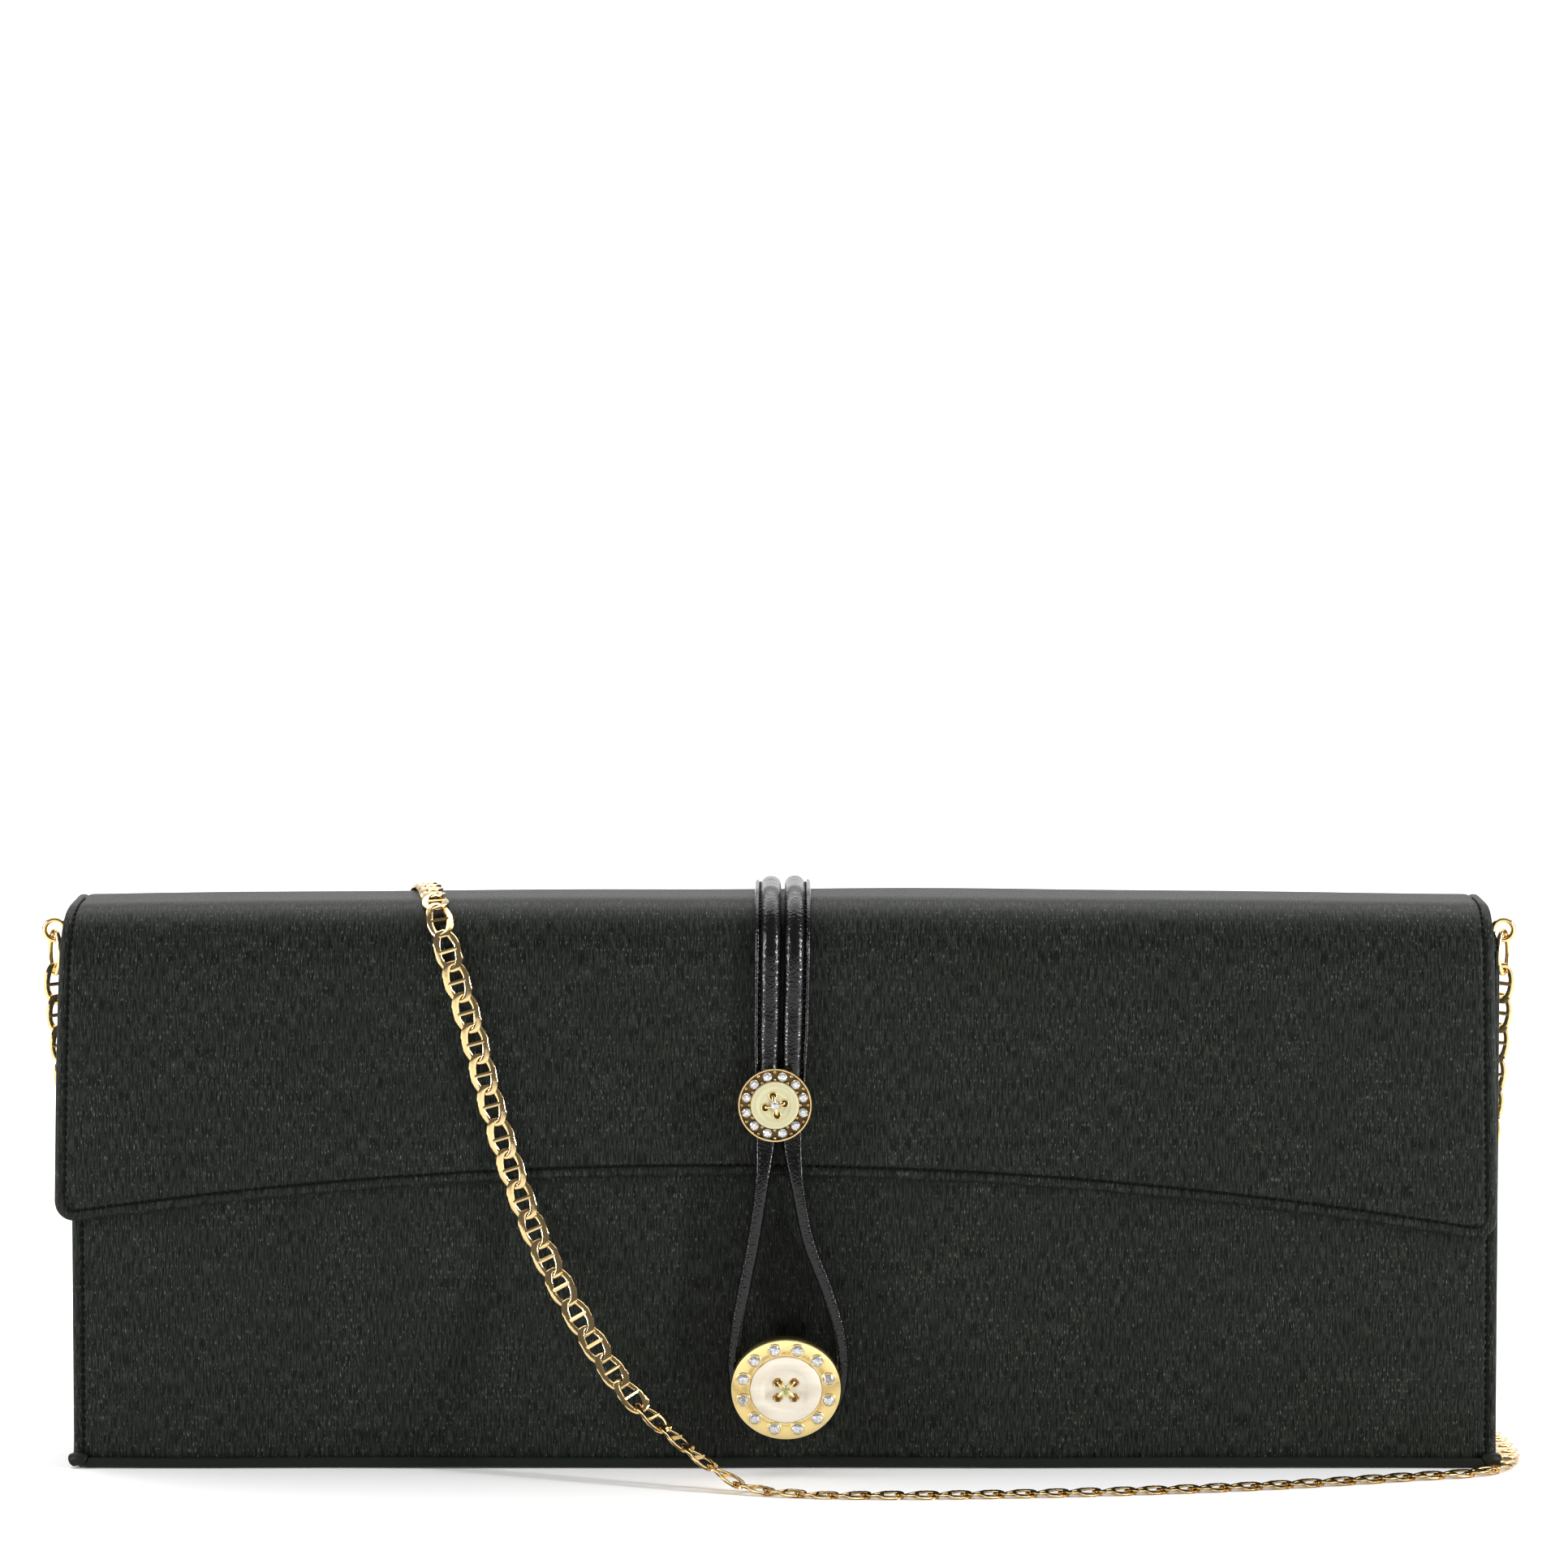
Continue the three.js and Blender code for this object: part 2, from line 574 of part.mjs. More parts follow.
function straps(group) {
  const band = flapBand(-LAYER_GAP - STRAP_THICKNESS, -LAYER_GAP, STRAP_START, SMALL_Z - SMALL_RADIUS);
  const hole = rodY(SMALL_POST_RADIUS + PIN_CLEARANCE, STRAP_FACE - 1, 0, SMALL_X, SMALL_Z);
  for (const [side, name] of [[-1, "strap_left"], [1, "strap_right"]]) {
    const middle = STRAP_MIDDLE + (side * (STRAP_WIDTH + STRAP_GAP)) / 2;
    const strap = rail(band, middle - STRAP_WIDTH / 2, middle + STRAP_WIDTH / 2, 8);
    part(group, name, cut(strap, hole), leather);
  }
}

// ---- Loop ----

// A teardrop band round the large button's drum, drawn in X and Z, leaning back to the panel.
function loopStrap(group) {
  const top = SMALL_Z - SMALL_RADIUS - FIT_GAP;
  const reach = FLAP_EDGE_HEIGHT - LOOP_Z + LOOP_INNER_RADIUS + LOOP_BAND;
  const lean = Math.atan2(FLAP_THICKNESS + FLAP_CLEARANCE, reach);
  const teardrop = (radius, spread, topZ) => {
    const shape = new THREE.Shape();
    const pull = LOOP_PULL * (topZ - LOOP_Z);
    shape.moveTo(LOOP_TOP_X - spread, topZ);
    shape.bezierCurveTo(
      LOOP_TOP_X - spread,
      topZ - pull,
      LOOP_X - radius,
      LOOP_Z + pull,
      LOOP_X - radius,
      LOOP_Z,
    );
    shape.absarc(LOOP_X, LOOP_Z, radius, Math.PI, 2 * Math.PI);
    shape.bezierCurveTo(
      LOOP_X + radius,
      LOOP_Z + pull,
      LOOP_TOP_X + spread,
      topZ - pull,
      LOOP_TOP_X + spread,
      topZ,
    );
    return shape;
  };
  const outer = teardrop(LOOP_INNER_RADIUS + LOOP_BAND, LOOP_NECK + LOOP_BAND / 2, top);
  const inner = teardrop(LOOP_INNER_RADIUS, LOOP_NECK - LOOP_BAND / 2, top + 1);
  const band = cut(plate(outer, -LOOP_DEPTH, 0, 10), plate(inner, -LOOP_DEPTH - 1, 1, 10));
  band.translate(0, 0, -FLAP_EDGE_HEIGHT).rotateX(lean);
  part(group, "loop_strap", band.translate(0, FLAP_FRONT - FIT_GAP, FLAP_EDGE_HEIGHT), leather);
}

// ---- Buttons: built with the face at local z = 0 looking along +z, and y up ----

function stone(radius) {
  return turned(
    [
      [0, -STONE_DEPTH * radius],
      [radius, 0],
      [STONE_TABLE * radius, STONE_CROWN * radius],
      [0, STONE_CROWN * radius],
    ],
    8,
  );
}

function stoneRing(group, prefix, radius, circle, z) {
  for (let i = 0; i < STONE_COUNT; i += 1) {
    const angle = ((i + 0.5) / STONE_COUNT) * 2 * Math.PI;
    const number = String(i + 1).padStart(2, "0");
    const mesh = part(group, `${prefix}_stone_${number}`, stone(radius), crystal);
    mesh.position.set(circle * Math.sin(angle), circle * Math.cos(angle), z);
  }
}

function holePlaces(circle, turnDegrees) {
  const places = [];
  for (let i = 0; i < HOLE_COUNT; i += 1) {
    const angle = (i / HOLE_COUNT) * 2 * Math.PI + THREE.MathUtils.degToRad(turnDegrees);
    places.push([circle * Math.cos(angle), circle * Math.sin(angle)]);
  }
  return places;
}

const rodZ = (radius, low, high, x, y, segments = 10) =>
  new THREE.CylinderGeometry(radius, radius, high - low, segments)
    .rotateX(Math.PI / 2)
    .translate(x, y, (low + high) / 2);

// The crossed wires that hold a disc: two bars over it, and a leg down each hole.
function threadCross(holes, legRadius, top, legBottom) {
  const reach = Math.hypot(...holes[0]) + legRadius;
  const bars = holes.slice(0, 2).map(([x, y]) => {
    const bar = slab([-reach, -legRadius, top - CROSS_BAR], [reach, legRadius, top]);
    return bar.rotateZ(Math.atan2(y, x));
  });
  const legs = holes.map(([x, y]) => rodZ(legRadius, legBottom, top - CROSS_BAR / 2, x, y, 8));
  return join(...bars, ...legs);
}

function disc(radius, back, rise, dip, holes, holeRadius) {
  const body = turned(
    [
      [0, back],
      [radius - LAYER_GAP, back],
      [radius, rise - CROSS_BAR],
      [radius - DISC_LIP, rise],
      [radius * DISC_LIP_INNER, rise],
      [radius * DISC_DIP_OUTER, dip],
      [0, dip],
    ],
    28,
  );
  return cut(body, ...holes.map(([x, y]) => rodZ(holeRadius, back - 1, rise + 1, x, y)));
}

function largeButton(group) {
  const head = turned(
    [
      [0, -DRUM_BACK + LARGE_BORE_DEPTH],
      [LARGE_BORE_RADIUS, -DRUM_BACK + LARGE_BORE_DEPTH],
      [LARGE_BORE_RADIUS, -DRUM_BACK],
      [LARGE_DRUM_RADIUS, -DRUM_BACK],
      [LARGE_DRUM_RADIUS, -LARGE_RIM_DEPTH],
      [LARGE_RADIUS - LARGE_CHAMFER, -LARGE_RIM_DEPTH],
      [LARGE_RADIUS, -LARGE_RIM_DEPTH + LARGE_CHAMFER],
      [LARGE_RADIUS, -LARGE_CHAMFER],
      [LARGE_RADIUS - LARGE_CHAMFER, 0],
      [LARGE_DISC_RADIUS + LAYER_GAP, 0],
      [LARGE_DISC_RADIUS + LAYER_GAP, -LARGE_RECESS],
      [0, -LARGE_RECESS],
    ],
    36,
  );
  const pockets = [];
  for (let i = 0; i < STONE_COUNT; i += 1) {
    const angle = ((i + 0.5) / STONE_COUNT) * 2 * Math.PI;
    const x = LARGE_STONE_CIRCLE * Math.sin(angle);
    const y = LARGE_STONE_CIRCLE * Math.cos(angle);
    pockets.push(rodZ(LARGE_STONE_RADIUS + LAYER_GAP, -LARGE_STONE_RADIUS, 1, x, y));
  }
  const holes = holePlaces(LARGE_HOLE_CIRCLE, LARGE_HOLE_TURN);
  part(group, "large_button_head", cut(head, ...pockets), gold);
  part(
    group,
    "large_button_disc",
    disc(
      LARGE_DISC_RADIUS,
      -LARGE_RECESS + LAYER_GAP,
      LARGE_DISC_RISE,
      LARGE_DISC_DIP,
      holes,
      LARGE_HOLE_RADIUS,
    ),
    pearl,
  );
  part(
    group,
    "large_button_thread",
    threadCross(holes, LARGE_CROSS_RADIUS, LARGE_CROSS_TOP, LARGE_CROSS_BOTTOM),
    gold,
  );
  const centre = part(group, "large_button_centre_stone", stone(LARGE_CENTRE_STONE), peridot);
  centre.position.z = LARGE_CROSS_TOP + LAYER_GAP + STONE_DEPTH * LARGE_CENTRE_STONE;
  stoneRing(group, "large_button", LARGE_STONE_RADIUS, LARGE_STONE_CIRCLE, 0);
}

function smallButton(group) {
  const postEnd = -(HALF_DEPTH + FLAP_CLEARANCE + FIT_GAP) - SMALL_FACE;
  const cup = turned(
    [
      [0, -postEnd],
      [SMALL_POST_RADIUS, -postEnd],
      [SMALL_POST_RADIUS, -SMALL_DEPTH],
      [SMALL_RADIUS - SMALL_CHAMFER, -SMALL_DEPTH],
      [SMALL_RADIUS, -SMALL_DEPTH + SMALL_CHAMFER],
      [SMALL_RADIUS, 0],
      [SMALL_RADIUS - SMALL_RIM, 0],
      [SMALL_RADIUS - SMALL_RIM, -SMALL_CHANNEL],
      [SMALL_DISC_RADIUS + LAYER_GAP, -SMALL_CHANNEL],
      [SMALL_DISC_RADIUS + LAYER_GAP, -SMALL_SEAT],
      [0, -SMALL_SEAT],
    ],
    32,
  );
  const holes = holePlaces(SMALL_HOLE_CIRCLE, SMALL_HOLE_TURN);
  part(group, "small_button_cup", cup, gold);
  part(
    group,
    "small_button_disc",
    disc(
      SMALL_DISC_RADIUS,
      -SMALL_SEAT + LAYER_GAP,
      SMALL_DISC_RISE,
      SMALL_DISC_DIP,
      holes,
      SMALL_HOLE_RADIUS,
    ),
    pearl,
  );
  part(
    group,
    "small_button_thread",
    threadCross(holes, SMALL_CROSS_RADIUS, SMALL_CROSS_TOP, SMALL_CROSS_BOTTOM),
    gold,
  );
  const centre = part(group, "small_button_centre_stone", stone(SMALL_CENTRE_STONE), crystal);
  centre.position.z = SMALL_CROSS_TOP + LAYER_GAP + STONE_DEPTH * SMALL_CENTRE_STONE;
  stoneRing(group, "small_button", SMALL_STONE_RADIUS, SMALL_STONE_CIRCLE, -SMALL_STONE_DEPTH);
}

// ---- The purse ----

const clutch = new THREE.Group();
baseLayers(clutch);
panelLayers(clutch, -1);
panelLayers(clutch, 1);
gusset(clutch, -1, "gusset_left");
gusset(clutch, 1, "gusset_right");
slipPocket(clutch);
frontWelt(clutch);
strapAnchor(clutch);
largeButtonPost(clutch);
sideEye(clutch, -1, "side_eye_left");
sideEye(clutch, 1, "side_eye_right");
chainRing(clutch, -1, "chain_ring_left");
chainRing(clutch, 1, "chain_ring_right");
chain(clutch);
flapLayers(clutch);
straps(clutch);
loopStrap(clutch);

const large = new THREE.Group();
large.position.set(LARGE_X, LARGE_FACE, LARGE_Z);
large.rotation.x = Math.PI / 2 + TILT;
largeButton(large);
clutch.add(large);

const small = new THREE.Group();
small.position.set(SMALL_X, SMALL_FACE, SMALL_Z);
small.rotation.x = Math.PI / 2;
smallButton(small);
clutch.add(small);

export default clutch;
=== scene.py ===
# %% [markdown]
# # An evening clutch, dressed over its CAD frame
# A long, flat satin purse: a boarded case, a curved flap, a leather loop that hooks over a large
# button, and a gilt anchor chain. The CAD frame gives every place and joint. This lesson builds
# the visible pieces as surfaces worked out with numpy, and gives them node-based finishes.

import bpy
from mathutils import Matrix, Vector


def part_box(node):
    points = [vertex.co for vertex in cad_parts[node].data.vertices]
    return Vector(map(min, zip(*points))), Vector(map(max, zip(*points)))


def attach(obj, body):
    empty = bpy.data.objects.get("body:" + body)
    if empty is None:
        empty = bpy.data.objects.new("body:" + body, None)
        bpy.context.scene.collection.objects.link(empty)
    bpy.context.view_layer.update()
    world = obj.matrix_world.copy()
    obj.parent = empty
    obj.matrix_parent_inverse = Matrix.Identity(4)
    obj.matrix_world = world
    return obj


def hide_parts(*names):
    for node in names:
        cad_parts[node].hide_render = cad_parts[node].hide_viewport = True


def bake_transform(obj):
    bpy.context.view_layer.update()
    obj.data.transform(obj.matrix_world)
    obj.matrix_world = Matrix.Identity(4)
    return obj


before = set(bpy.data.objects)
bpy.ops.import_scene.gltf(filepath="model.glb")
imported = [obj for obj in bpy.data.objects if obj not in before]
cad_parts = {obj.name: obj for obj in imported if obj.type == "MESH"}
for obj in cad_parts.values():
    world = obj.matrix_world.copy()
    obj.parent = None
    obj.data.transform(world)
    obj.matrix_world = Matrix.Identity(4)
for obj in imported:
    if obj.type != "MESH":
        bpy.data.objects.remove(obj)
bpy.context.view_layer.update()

import math

import bpy
import numpy as np

MM = 0.001
FORWARD = np.array([0.0, -1.0, 0.0])  # towards the viewer, out of the front


def box_mm(node):
    """A node's low and high corners in millimetres."""
    return [np.array(corner, float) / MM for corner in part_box(node)]


# %% [markdown]
# ## Camera first
# The purse is seen almost straight on, from a little above, through a long lens. A long lens keeps
# both ends of a wide object from bending away. The camera looks above the purse, which leaves it
# low in the frame.

# %% Camera
VIEW_RISE = math.radians(8.0)
VIEW_DISTANCE = 1500.0
VIEW_PITCH = math.radians(4.671)
AIM = np.array([-0.17, -18.0, 60.0])

camera_data = bpy.data.cameras.new("camera")
camera_data.sensor_width = 36.0
camera_data.lens = 160.4
camera = bpy.data.objects.new("camera", camera_data)
bpy.context.collection.objects.link(camera)
towards_eye = np.array([0, -math.cos(VIEW_RISE), math.sin(VIEW_RISE)])
camera.location = MM * (AIM + VIEW_DISTANCE * towards_eye)
camera.rotation_euler = (math.pi / 2 - VIEW_PITCH, 0, 0)
bpy.context.scene.camera = camera
print("camera at", [round(c, 3) for c in camera.location])

# %% [markdown]
# ## Mesh helpers
# Every new piece is a grid of points. A `lattice` of faces joins neighbouring grid points; a piece
# that closes on itself wraps round, and open ends get caps. `make` turns arrays into a mesh and
# turns the faces outwards if the enclosed volume comes out negative.

# %% Faces of a grid
def lattice(rings, sides, wrap_rings=False, caps=True, start=0):
    """Quads of a tube of rings round which sides wrap, with an n-gon cap at each open end."""
    i = np.arange(rings if wrap_rings else rings - 1)[:, None]
    j = np.arange(sides)[None, :]
    here, there = (i % rings) * sides, ((i + 1) % rings) * sides
    nxt = (j + 1) % sides
    quads = np.stack([here + j, here + nxt, there + nxt, there + j], axis=-1)
    faces = [quads.reshape(-1, 4) + start]
    ends = []
    if caps and not wrap_rings:
        ends = [list(range(start + sides - 1, start - 1, -1)),
                list(range(start + (rings - 1) * sides, start + rings * sides))]
    return faces, ends


# %% Turn arrays into a mesh
def grid_of(rows, cols):
    """Point numbers of a grid, rows by columns."""
    return np.arange(rows * cols).reshape(rows, cols)


def patch(g):
    """Quads between the neighbours of a grid of point numbers."""
    return np.stack([g[:-1, :-1], g[:-1, 1:], g[1:, 1:], g[1:, :-1]], -1).reshape(-1, 4)


def around(count):
    """Even angles round a circle."""
    return np.linspace(0, 2 * np.pi, count, endpoint=False)


def columns(*parts):
    """Coordinates side by side in a new last axis; single numbers are stretched to match."""
    return np.stack(np.broadcast_arrays(*parts), -1)


def walked(path):
    """The distance gone along a path, at each of its points."""
    return np.r_[0, np.cumsum(np.linalg.norm(np.diff(path, axis=0), axis=1))]


def ease(t):
    """Smoothstep: 3t^2 - 2t^3, with t held between 0 and 1."""
    t = np.clip(t, 0, 1)
    return t * t * (3 - 2 * t)


def quarter_round(near, radius):
    """How far a rounded edge stands in from square, this near to the edge."""
    near = np.clip(near, 0, radius)
    return radius - np.sqrt(np.clip(radius**2 - (radius - near) ** 2, 0, None))


def within(value, low, high):
    """Distance inside a span: positive between its ends."""
    return np.minimum(value - low, high - value)


def volume_of(points, faces):
    """Signed volume: a sixth of the sum of the triangles' corner determinants."""
    total = 0.0
    for block in faces:
        block = np.asarray(block)
        for k in range(1, block.shape[1] - 1):
            a, b, c = points[block[:, 0]], points[block[:, k]], points[block[:, k + 1]]
            total += np.einsum("ij,ij->i", a, np.cross(b, c)).sum() / 6
    return total


def make(name, points, quads, finish, ends=(), uv=None, smooth=True, sharp=None, sewn=None):
    """A mesh object at the origin, from points in millimetres, blocks of quads and end polygons."""
    points = np.asarray(points, float).reshape(-1, 3)
    blocks = [np.asarray(block) for block in quads] + [np.asarray([end]) for end in ends]
    if volume_of(points, blocks) < 0:
        blocks = [block[:, ::-1] for block in blocks]
    used = np.unique(np.concatenate([block.ravel() for block in blocks]))
    place = np.zeros(len(points), int)
    place[used] = np.arange(len(used))
    faces = [face for block in blocks for face in place[block].tolist()]
    mesh = bpy.data.meshes.new(name)
    mesh.from_pydata((points[used] * MM).tolist(), [], faces)
    if uv is not None:
        layer = mesh.uv_layers.new(name="cloth")
        corners = np.zeros(len(mesh.loops), np.int32)
        mesh.loops.foreach_get("vertex_index", corners)
        cloth_place = np.asarray(uv, float).reshape(-1, 2)[used]
        layer.data.foreach_set("uv", cloth_place[corners].ravel())
    # sewn: a value per point along the sewn line; the satin finish paints shade in the stitched
    # groove with it.
    if sewn is not None:
        line = mesh.attributes.new("sewn", "FLOAT", "POINT")
        line.data.foreach_set("value", np.ravel(sewn)[used])
    mesh.polygons.foreach_set("use_smooth", np.full(len(mesh.polygons), smooth))
    if sharp is not None:
        mesh.set_sharp_from_angle(angle=math.radians(sharp))
    mesh.materials.append(finish)
    mesh.validate()
    mesh.update()
    piece = bpy.data.objects.new(name, mesh)
    bpy.context.collection.objects.link(piece)
    print(f"{name}: {len(used)} points, {len(faces)} faces")
    return piece


def settle(piece, body, slot, *nodes):
    """Rides on a body and stands for CAD nodes, which it hides; the slot argument is not used."""
    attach(piece, body)
    if nodes:
        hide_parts(*nodes)
    return piece


# %% [markdown]
# ## Shader maths as Python
# A finish is easier to read as a formula than as a picture of wires. `Wire` wraps a socket, so that
# `1 - mask * 0.5` adds its own Math nodes.

# %% A small shader language
class Wire:
    """A socket that can be added, multiplied and compared like a number."""

    def __init__(self, finish, socket):
        self.finish, self.socket = finish, socket

    def math(self, operation, a, b=0.0, clamp=False):
        settings = {"operation": operation, "use_clamp": clamp}
        return self.finish.node("ShaderNodeMath", settings, {0: a, 1: b})[0]

    def __add__(self, other): return self.math("ADD", self, other)
    def __radd__(self, other): return self.math("ADD", other, self)
    def __sub__(self, other): return self.math("SUBTRACT", self, other)
    def __rsub__(self, other): return self.math("SUBTRACT", other, self)
    def __mul__(self, other): return self.math("MULTIPLY", self, other)
    def __rmul__(self, other): return self.math("MULTIPLY", other, self)

    def above(self, level, width):
        """0 below the level, 1 above it, over a soft step of that width."""
        return self.math("MULTIPLY", self - (level - width / 2), 1 / width, clamp=True)


class Outputs(dict):
    """A node's outputs as wires, by number or name."""

    def __init__(self, finish, node):
        self.finish, self.node = finish, node

    def __missing__(self, key):
        return Wire(self.finish, self.node.outputs[key])


class Finish:
    """One material: node() adds any node, and gloss() ends it in a Principled shader."""

    def __init__(self, name):
        self.material = bpy.data.materials.new(name)
        self.material.use_nodes = True
        self.tree = self.material.node_tree
        self.tree.nodes.clear()

    def node(self, kind, settings=(), sockets=()):
        made = self.tree.nodes.new(kind)
        for key, value in dict(settings).items():
            setattr(made, key, value)
        for key, value in dict(sockets).items():
            if isinstance(value, Wire):
                self.tree.links.new(value.socket, made.inputs[key])
            else:
                made.inputs[key].default_value = value
        return Outputs(self, made)

    def place(self, stretch=(1, 1, 1), cloth=False, centre=(0, 0, 0), turn=(0, 0, 0)):
        """Object coordinates, or the cloth's own UV, moved, turned and stretched."""
        source = self.node("ShaderNodeTexCoord")["UV" if cloth else "Object"]
        moved = self.vector("SUBTRACT", source, centre)
        sockets = {"Vector": moved, "Rotation": turn, "Scale": stretch}
        return self.node("ShaderNodeMapping", {}, sockets)["Vector"]

    def vector(self, operation, a, b=(0, 0, 0)):
        return self.node("ShaderNodeVectorMath", {"operation": operation}, {0: a, 1: b})["Vector"]

    def noise(self, where, scale, detail=2.0, roughness=0.5):
        sockets = {"Vector": where, "Scale": scale, "Detail": detail, "Roughness": roughness}
        return self.node("ShaderNodeTexNoise", {}, sockets)["Fac"]

    def mix(self, factor, a, b):
        """A colour between a and b, given as red, green and blue or as a wire."""
        a, b = (c if isinstance(c, Wire) else (*c, 1) for c in (a, b))
        return self.node("ShaderNodeMix", {"data_type": "RGBA"}, {0: factor, 6: a, 7: b})[2]

    def bump(self, height, distance, strength):
        sockets = {"Height": height, "Distance": distance, "Strength": strength}
        return self.node("ShaderNodeBump", {}, sockets)["Normal"]

    def gloss(self, **sockets):
        named = {key.replace("_", " "): value for key, value in sockets.items()}
        shader = self.node("ShaderNodeBsdfPrincipled", {}, named)
        out = self.tree.nodes.new("ShaderNodeOutputMaterial")
        self.tree.links.new(shader["BSDF"].socket, out.inputs["Surface"])
        return self.material


# %% [markdown]
# ## Satin
# The cover is a black warp-faced satin: fine upright threads, a few of them brighter and thicker
# for a millimetre or two. The cloth's UV map holds millimetres across and along, so the threads
# follow the cloth over the rolled top. Stretched noise gives threads; a high threshold on a second
# noise leaves only short scattered flecks.

# %% Satin finish
def satin_finish():
    f = Finish("black_satin")
    threads = f.noise(f.place((3.4, 0.30, 1), cloth=True), 1.0, 4.0, 0.65)
    fine = f.noise(f.place((6.5, 0.9, 1), cloth=True), 1.0, 1.0)
    patches = f.noise(f.place((0.035, 0.03, 1), cloth=True), 1.0, 2.0)
    clusters = f.noise(f.place((0.09, 0.07, 1), cloth=True), 1.0, 2.0)
    sparks = f.noise(f.place((4.6, 0.85, 1), cloth=True, centre=(31, 17, 0)), 1.0, 1.0)
    flecks = (sparks + 0.14 * clusters).above(0.775, 0.10)
    # Painted shade: sewn marks a band along each sewn line, and the satin is darkened there as the
    # shade of the stitched groove and its holes.
    sewn = f.node("ShaderNodeAttribute", {"attribute_name": "sewn"})["Fac"]
    shade = f.mix(patches.above(0.5, 0.35), (0.0036, 0.0042, 0.0034),
                  (0.0038, 0.0054, 0.0040))
    woven = f.mix(threads.above(0.545, 0.24), shade, (0.0268, 0.0298, 0.0245))
    flecked = f.mix(flecks, woven, (0.105, 0.115, 0.10))
    colour = f.mix(0.75 * sewn, flecked, (0.001, 0.0012, 0.001))
    height = threads * 0.6 + fine * 0.4
    return f.gloss(
        Base_Color=colour,
        Roughness=0.50 - 0.14 * threads,
        Specular_IOR_Level=0.07,
        Sheen_Weight=0.01,
        Sheen_Roughness=0.45,
        Sheen_Tint=(0.80, 0.86, 0.80, 1),
        Normal=f.bump(height, 0.00014, 0.6),
    )


def lining_finish():
    f = Finish("black_lining")
    sockets = {"Vector": f.place((3.0, 1, 1), cloth=True), "Scale": 0.5, "Distortion": 0.6}
    ribs = f.node("ShaderNodeTexWave", {"bands_direction": "X"}, sockets)["Fac"]
    cloud = f.noise(f.place((0.05, 0.05, 1), cloth=True), 1.0)
    colour = f.mix(cloud, (0.010, 0.010, 0.011), (0.022, 0.022, 0.024))
    return f.gloss(Base_Color=colour, Roughness=0.42 + 0.1 * ribs, Normal=f.bump(ribs, 0.0001, 0.4))


# %% [markdown]
# ## Leather, board and thread
# The straps are glazed black leather. A smooth Voronoi pattern gives the pebbled grain that breaks
# long highlights into small bright grains.

# %% Leather and board finishes
def leather_finish():
    f = Finish("black_leather")
    where = f.place()
    cells = f.node("ShaderNodeTexVoronoi", {"feature": "SMOOTH_F1"},
                   {"Vector": where, "Scale": 1900.0, "Smoothness": 0.5})["Distance"]
    creases = f.noise(where, 900.0, 3.0, 0.6)
    colour = f.mix(creases, (0.002, 0.0022, 0.0022), (0.006, 0.006, 0.006))
    height = cells * 0.8 + creases * 0.5
    return f.gloss(
        Base_Color=colour,
        Roughness=0.13 + 0.14 * creases,
        Specular_IOR_Level=0.36,
        Normal=f.bump(height, 0.00011, 0.9),
    )


def board_finish():
    f = Finish("grey_board")
    fibres = f.noise(f.place(), 700.0, 4.0, 0.7)
    colour = f.mix(fibres, (0.18, 0.16, 0.13), (0.34, 0.31, 0.26))
    return f.gloss(Base_Color=colour, Roughness=0.85 + 0.1 * fibres,
                   Normal=f.bump(fibres, 0.0001, 0.5))


def thread_finish():
    f = Finish("black_thread")
    twist = f.noise(f.place(), 4200.0, 1.0)
    colour = f.mix(twist, (0.0008, 0.0009, 0.0008), (0.003, 0.0032, 0.003))
    return f.gloss(Base_Color=colour, Specular_IOR_Level=0.08, Roughness=0.6 + 0.2 * twist,
                   Normal=f.bump(twist, 0.0001, 0.6))


# %% [markdown]
# ## Gilt, disc and stone finishes
# Gilt brass is a metal with a warm colour and a nearly smooth surface: a faint large noise keeps
# the plating from looking perfect. The discs are shell: a milky base under a clear coat.
# Rhinestones have a foil back, so a bright metallic base under a coat gives their sparkle.

# %% Metal, shell and stone finishes
def gilt_finish(name, colour, deep, roughness, grain=1500.0):
    f = Finish(name)
    cloud = f.noise(f.place(), 160.0, 2.0)
    rub = f.noise(f.place(), grain, 3.0, 0.6)
    return f.gloss(
        Base_Color=f.mix(cloud, deep, colour),
        Metallic=1.0,
        Roughness=roughness + 0.10 * rub,
        Normal=f.bump(rub, 0.00003, 0.25),
    )


def pearl_finish():
    f = Finish("pearl_shell")
    bands = f.noise(f.place((60, 200, 420), turn=(0.3, 0.2, 0.6)), 1.0, 3.0, 0.55)
    cloud = f.noise(f.place(), 320.0, 2.0)
    colour = f.mix(bands.above(0.5, 0.5), (0.66, 0.58, 0.46), (0.80, 0.76, 0.67))
    return f.gloss(Base_Color=colour, Roughness=0.24 + 0.15 * cloud, Coat_Weight=0.8,
                   Coat_Roughness=0.06, Subsurface_Weight=0.15, Subsurface_Scale=0.002,
                   Normal=f.bump(bands, 0.00005, 0.3))


TURNING_PITCH = 0.00115  # between the rings a lathe tool left on the cream disc, in metres


def cream_finish(centre):
    f = Finish("cream_satin_disc")
    offset = f.vector("SUBTRACT", f.place(), tuple(MM * c for c in centre))
    flat = f.vector("MULTIPLY", offset, (1, 0, 1))
    radius = f.node("ShaderNodeVectorMath", {"operation": "LENGTH"}, {0: flat})["Value"]
    rings = radius.math("SINE", radius * (2 * math.pi / TURNING_PITCH))
    cloud = f.noise(f.place(), 500.0, 2.0)
    light_rings = (rings * 0.2 + 0.5).above(0.5, 0.9)
    colour = f.mix(light_rings, (0.46, 0.425, 0.24), (0.56, 0.535, 0.34))
    return f.gloss(Base_Color=colour, Roughness=0.34 + 0.1 * cloud, Coat_Weight=0.35,
                   Coat_Roughness=0.15, Normal=f.bump(rings, 0.00005, 0.5))


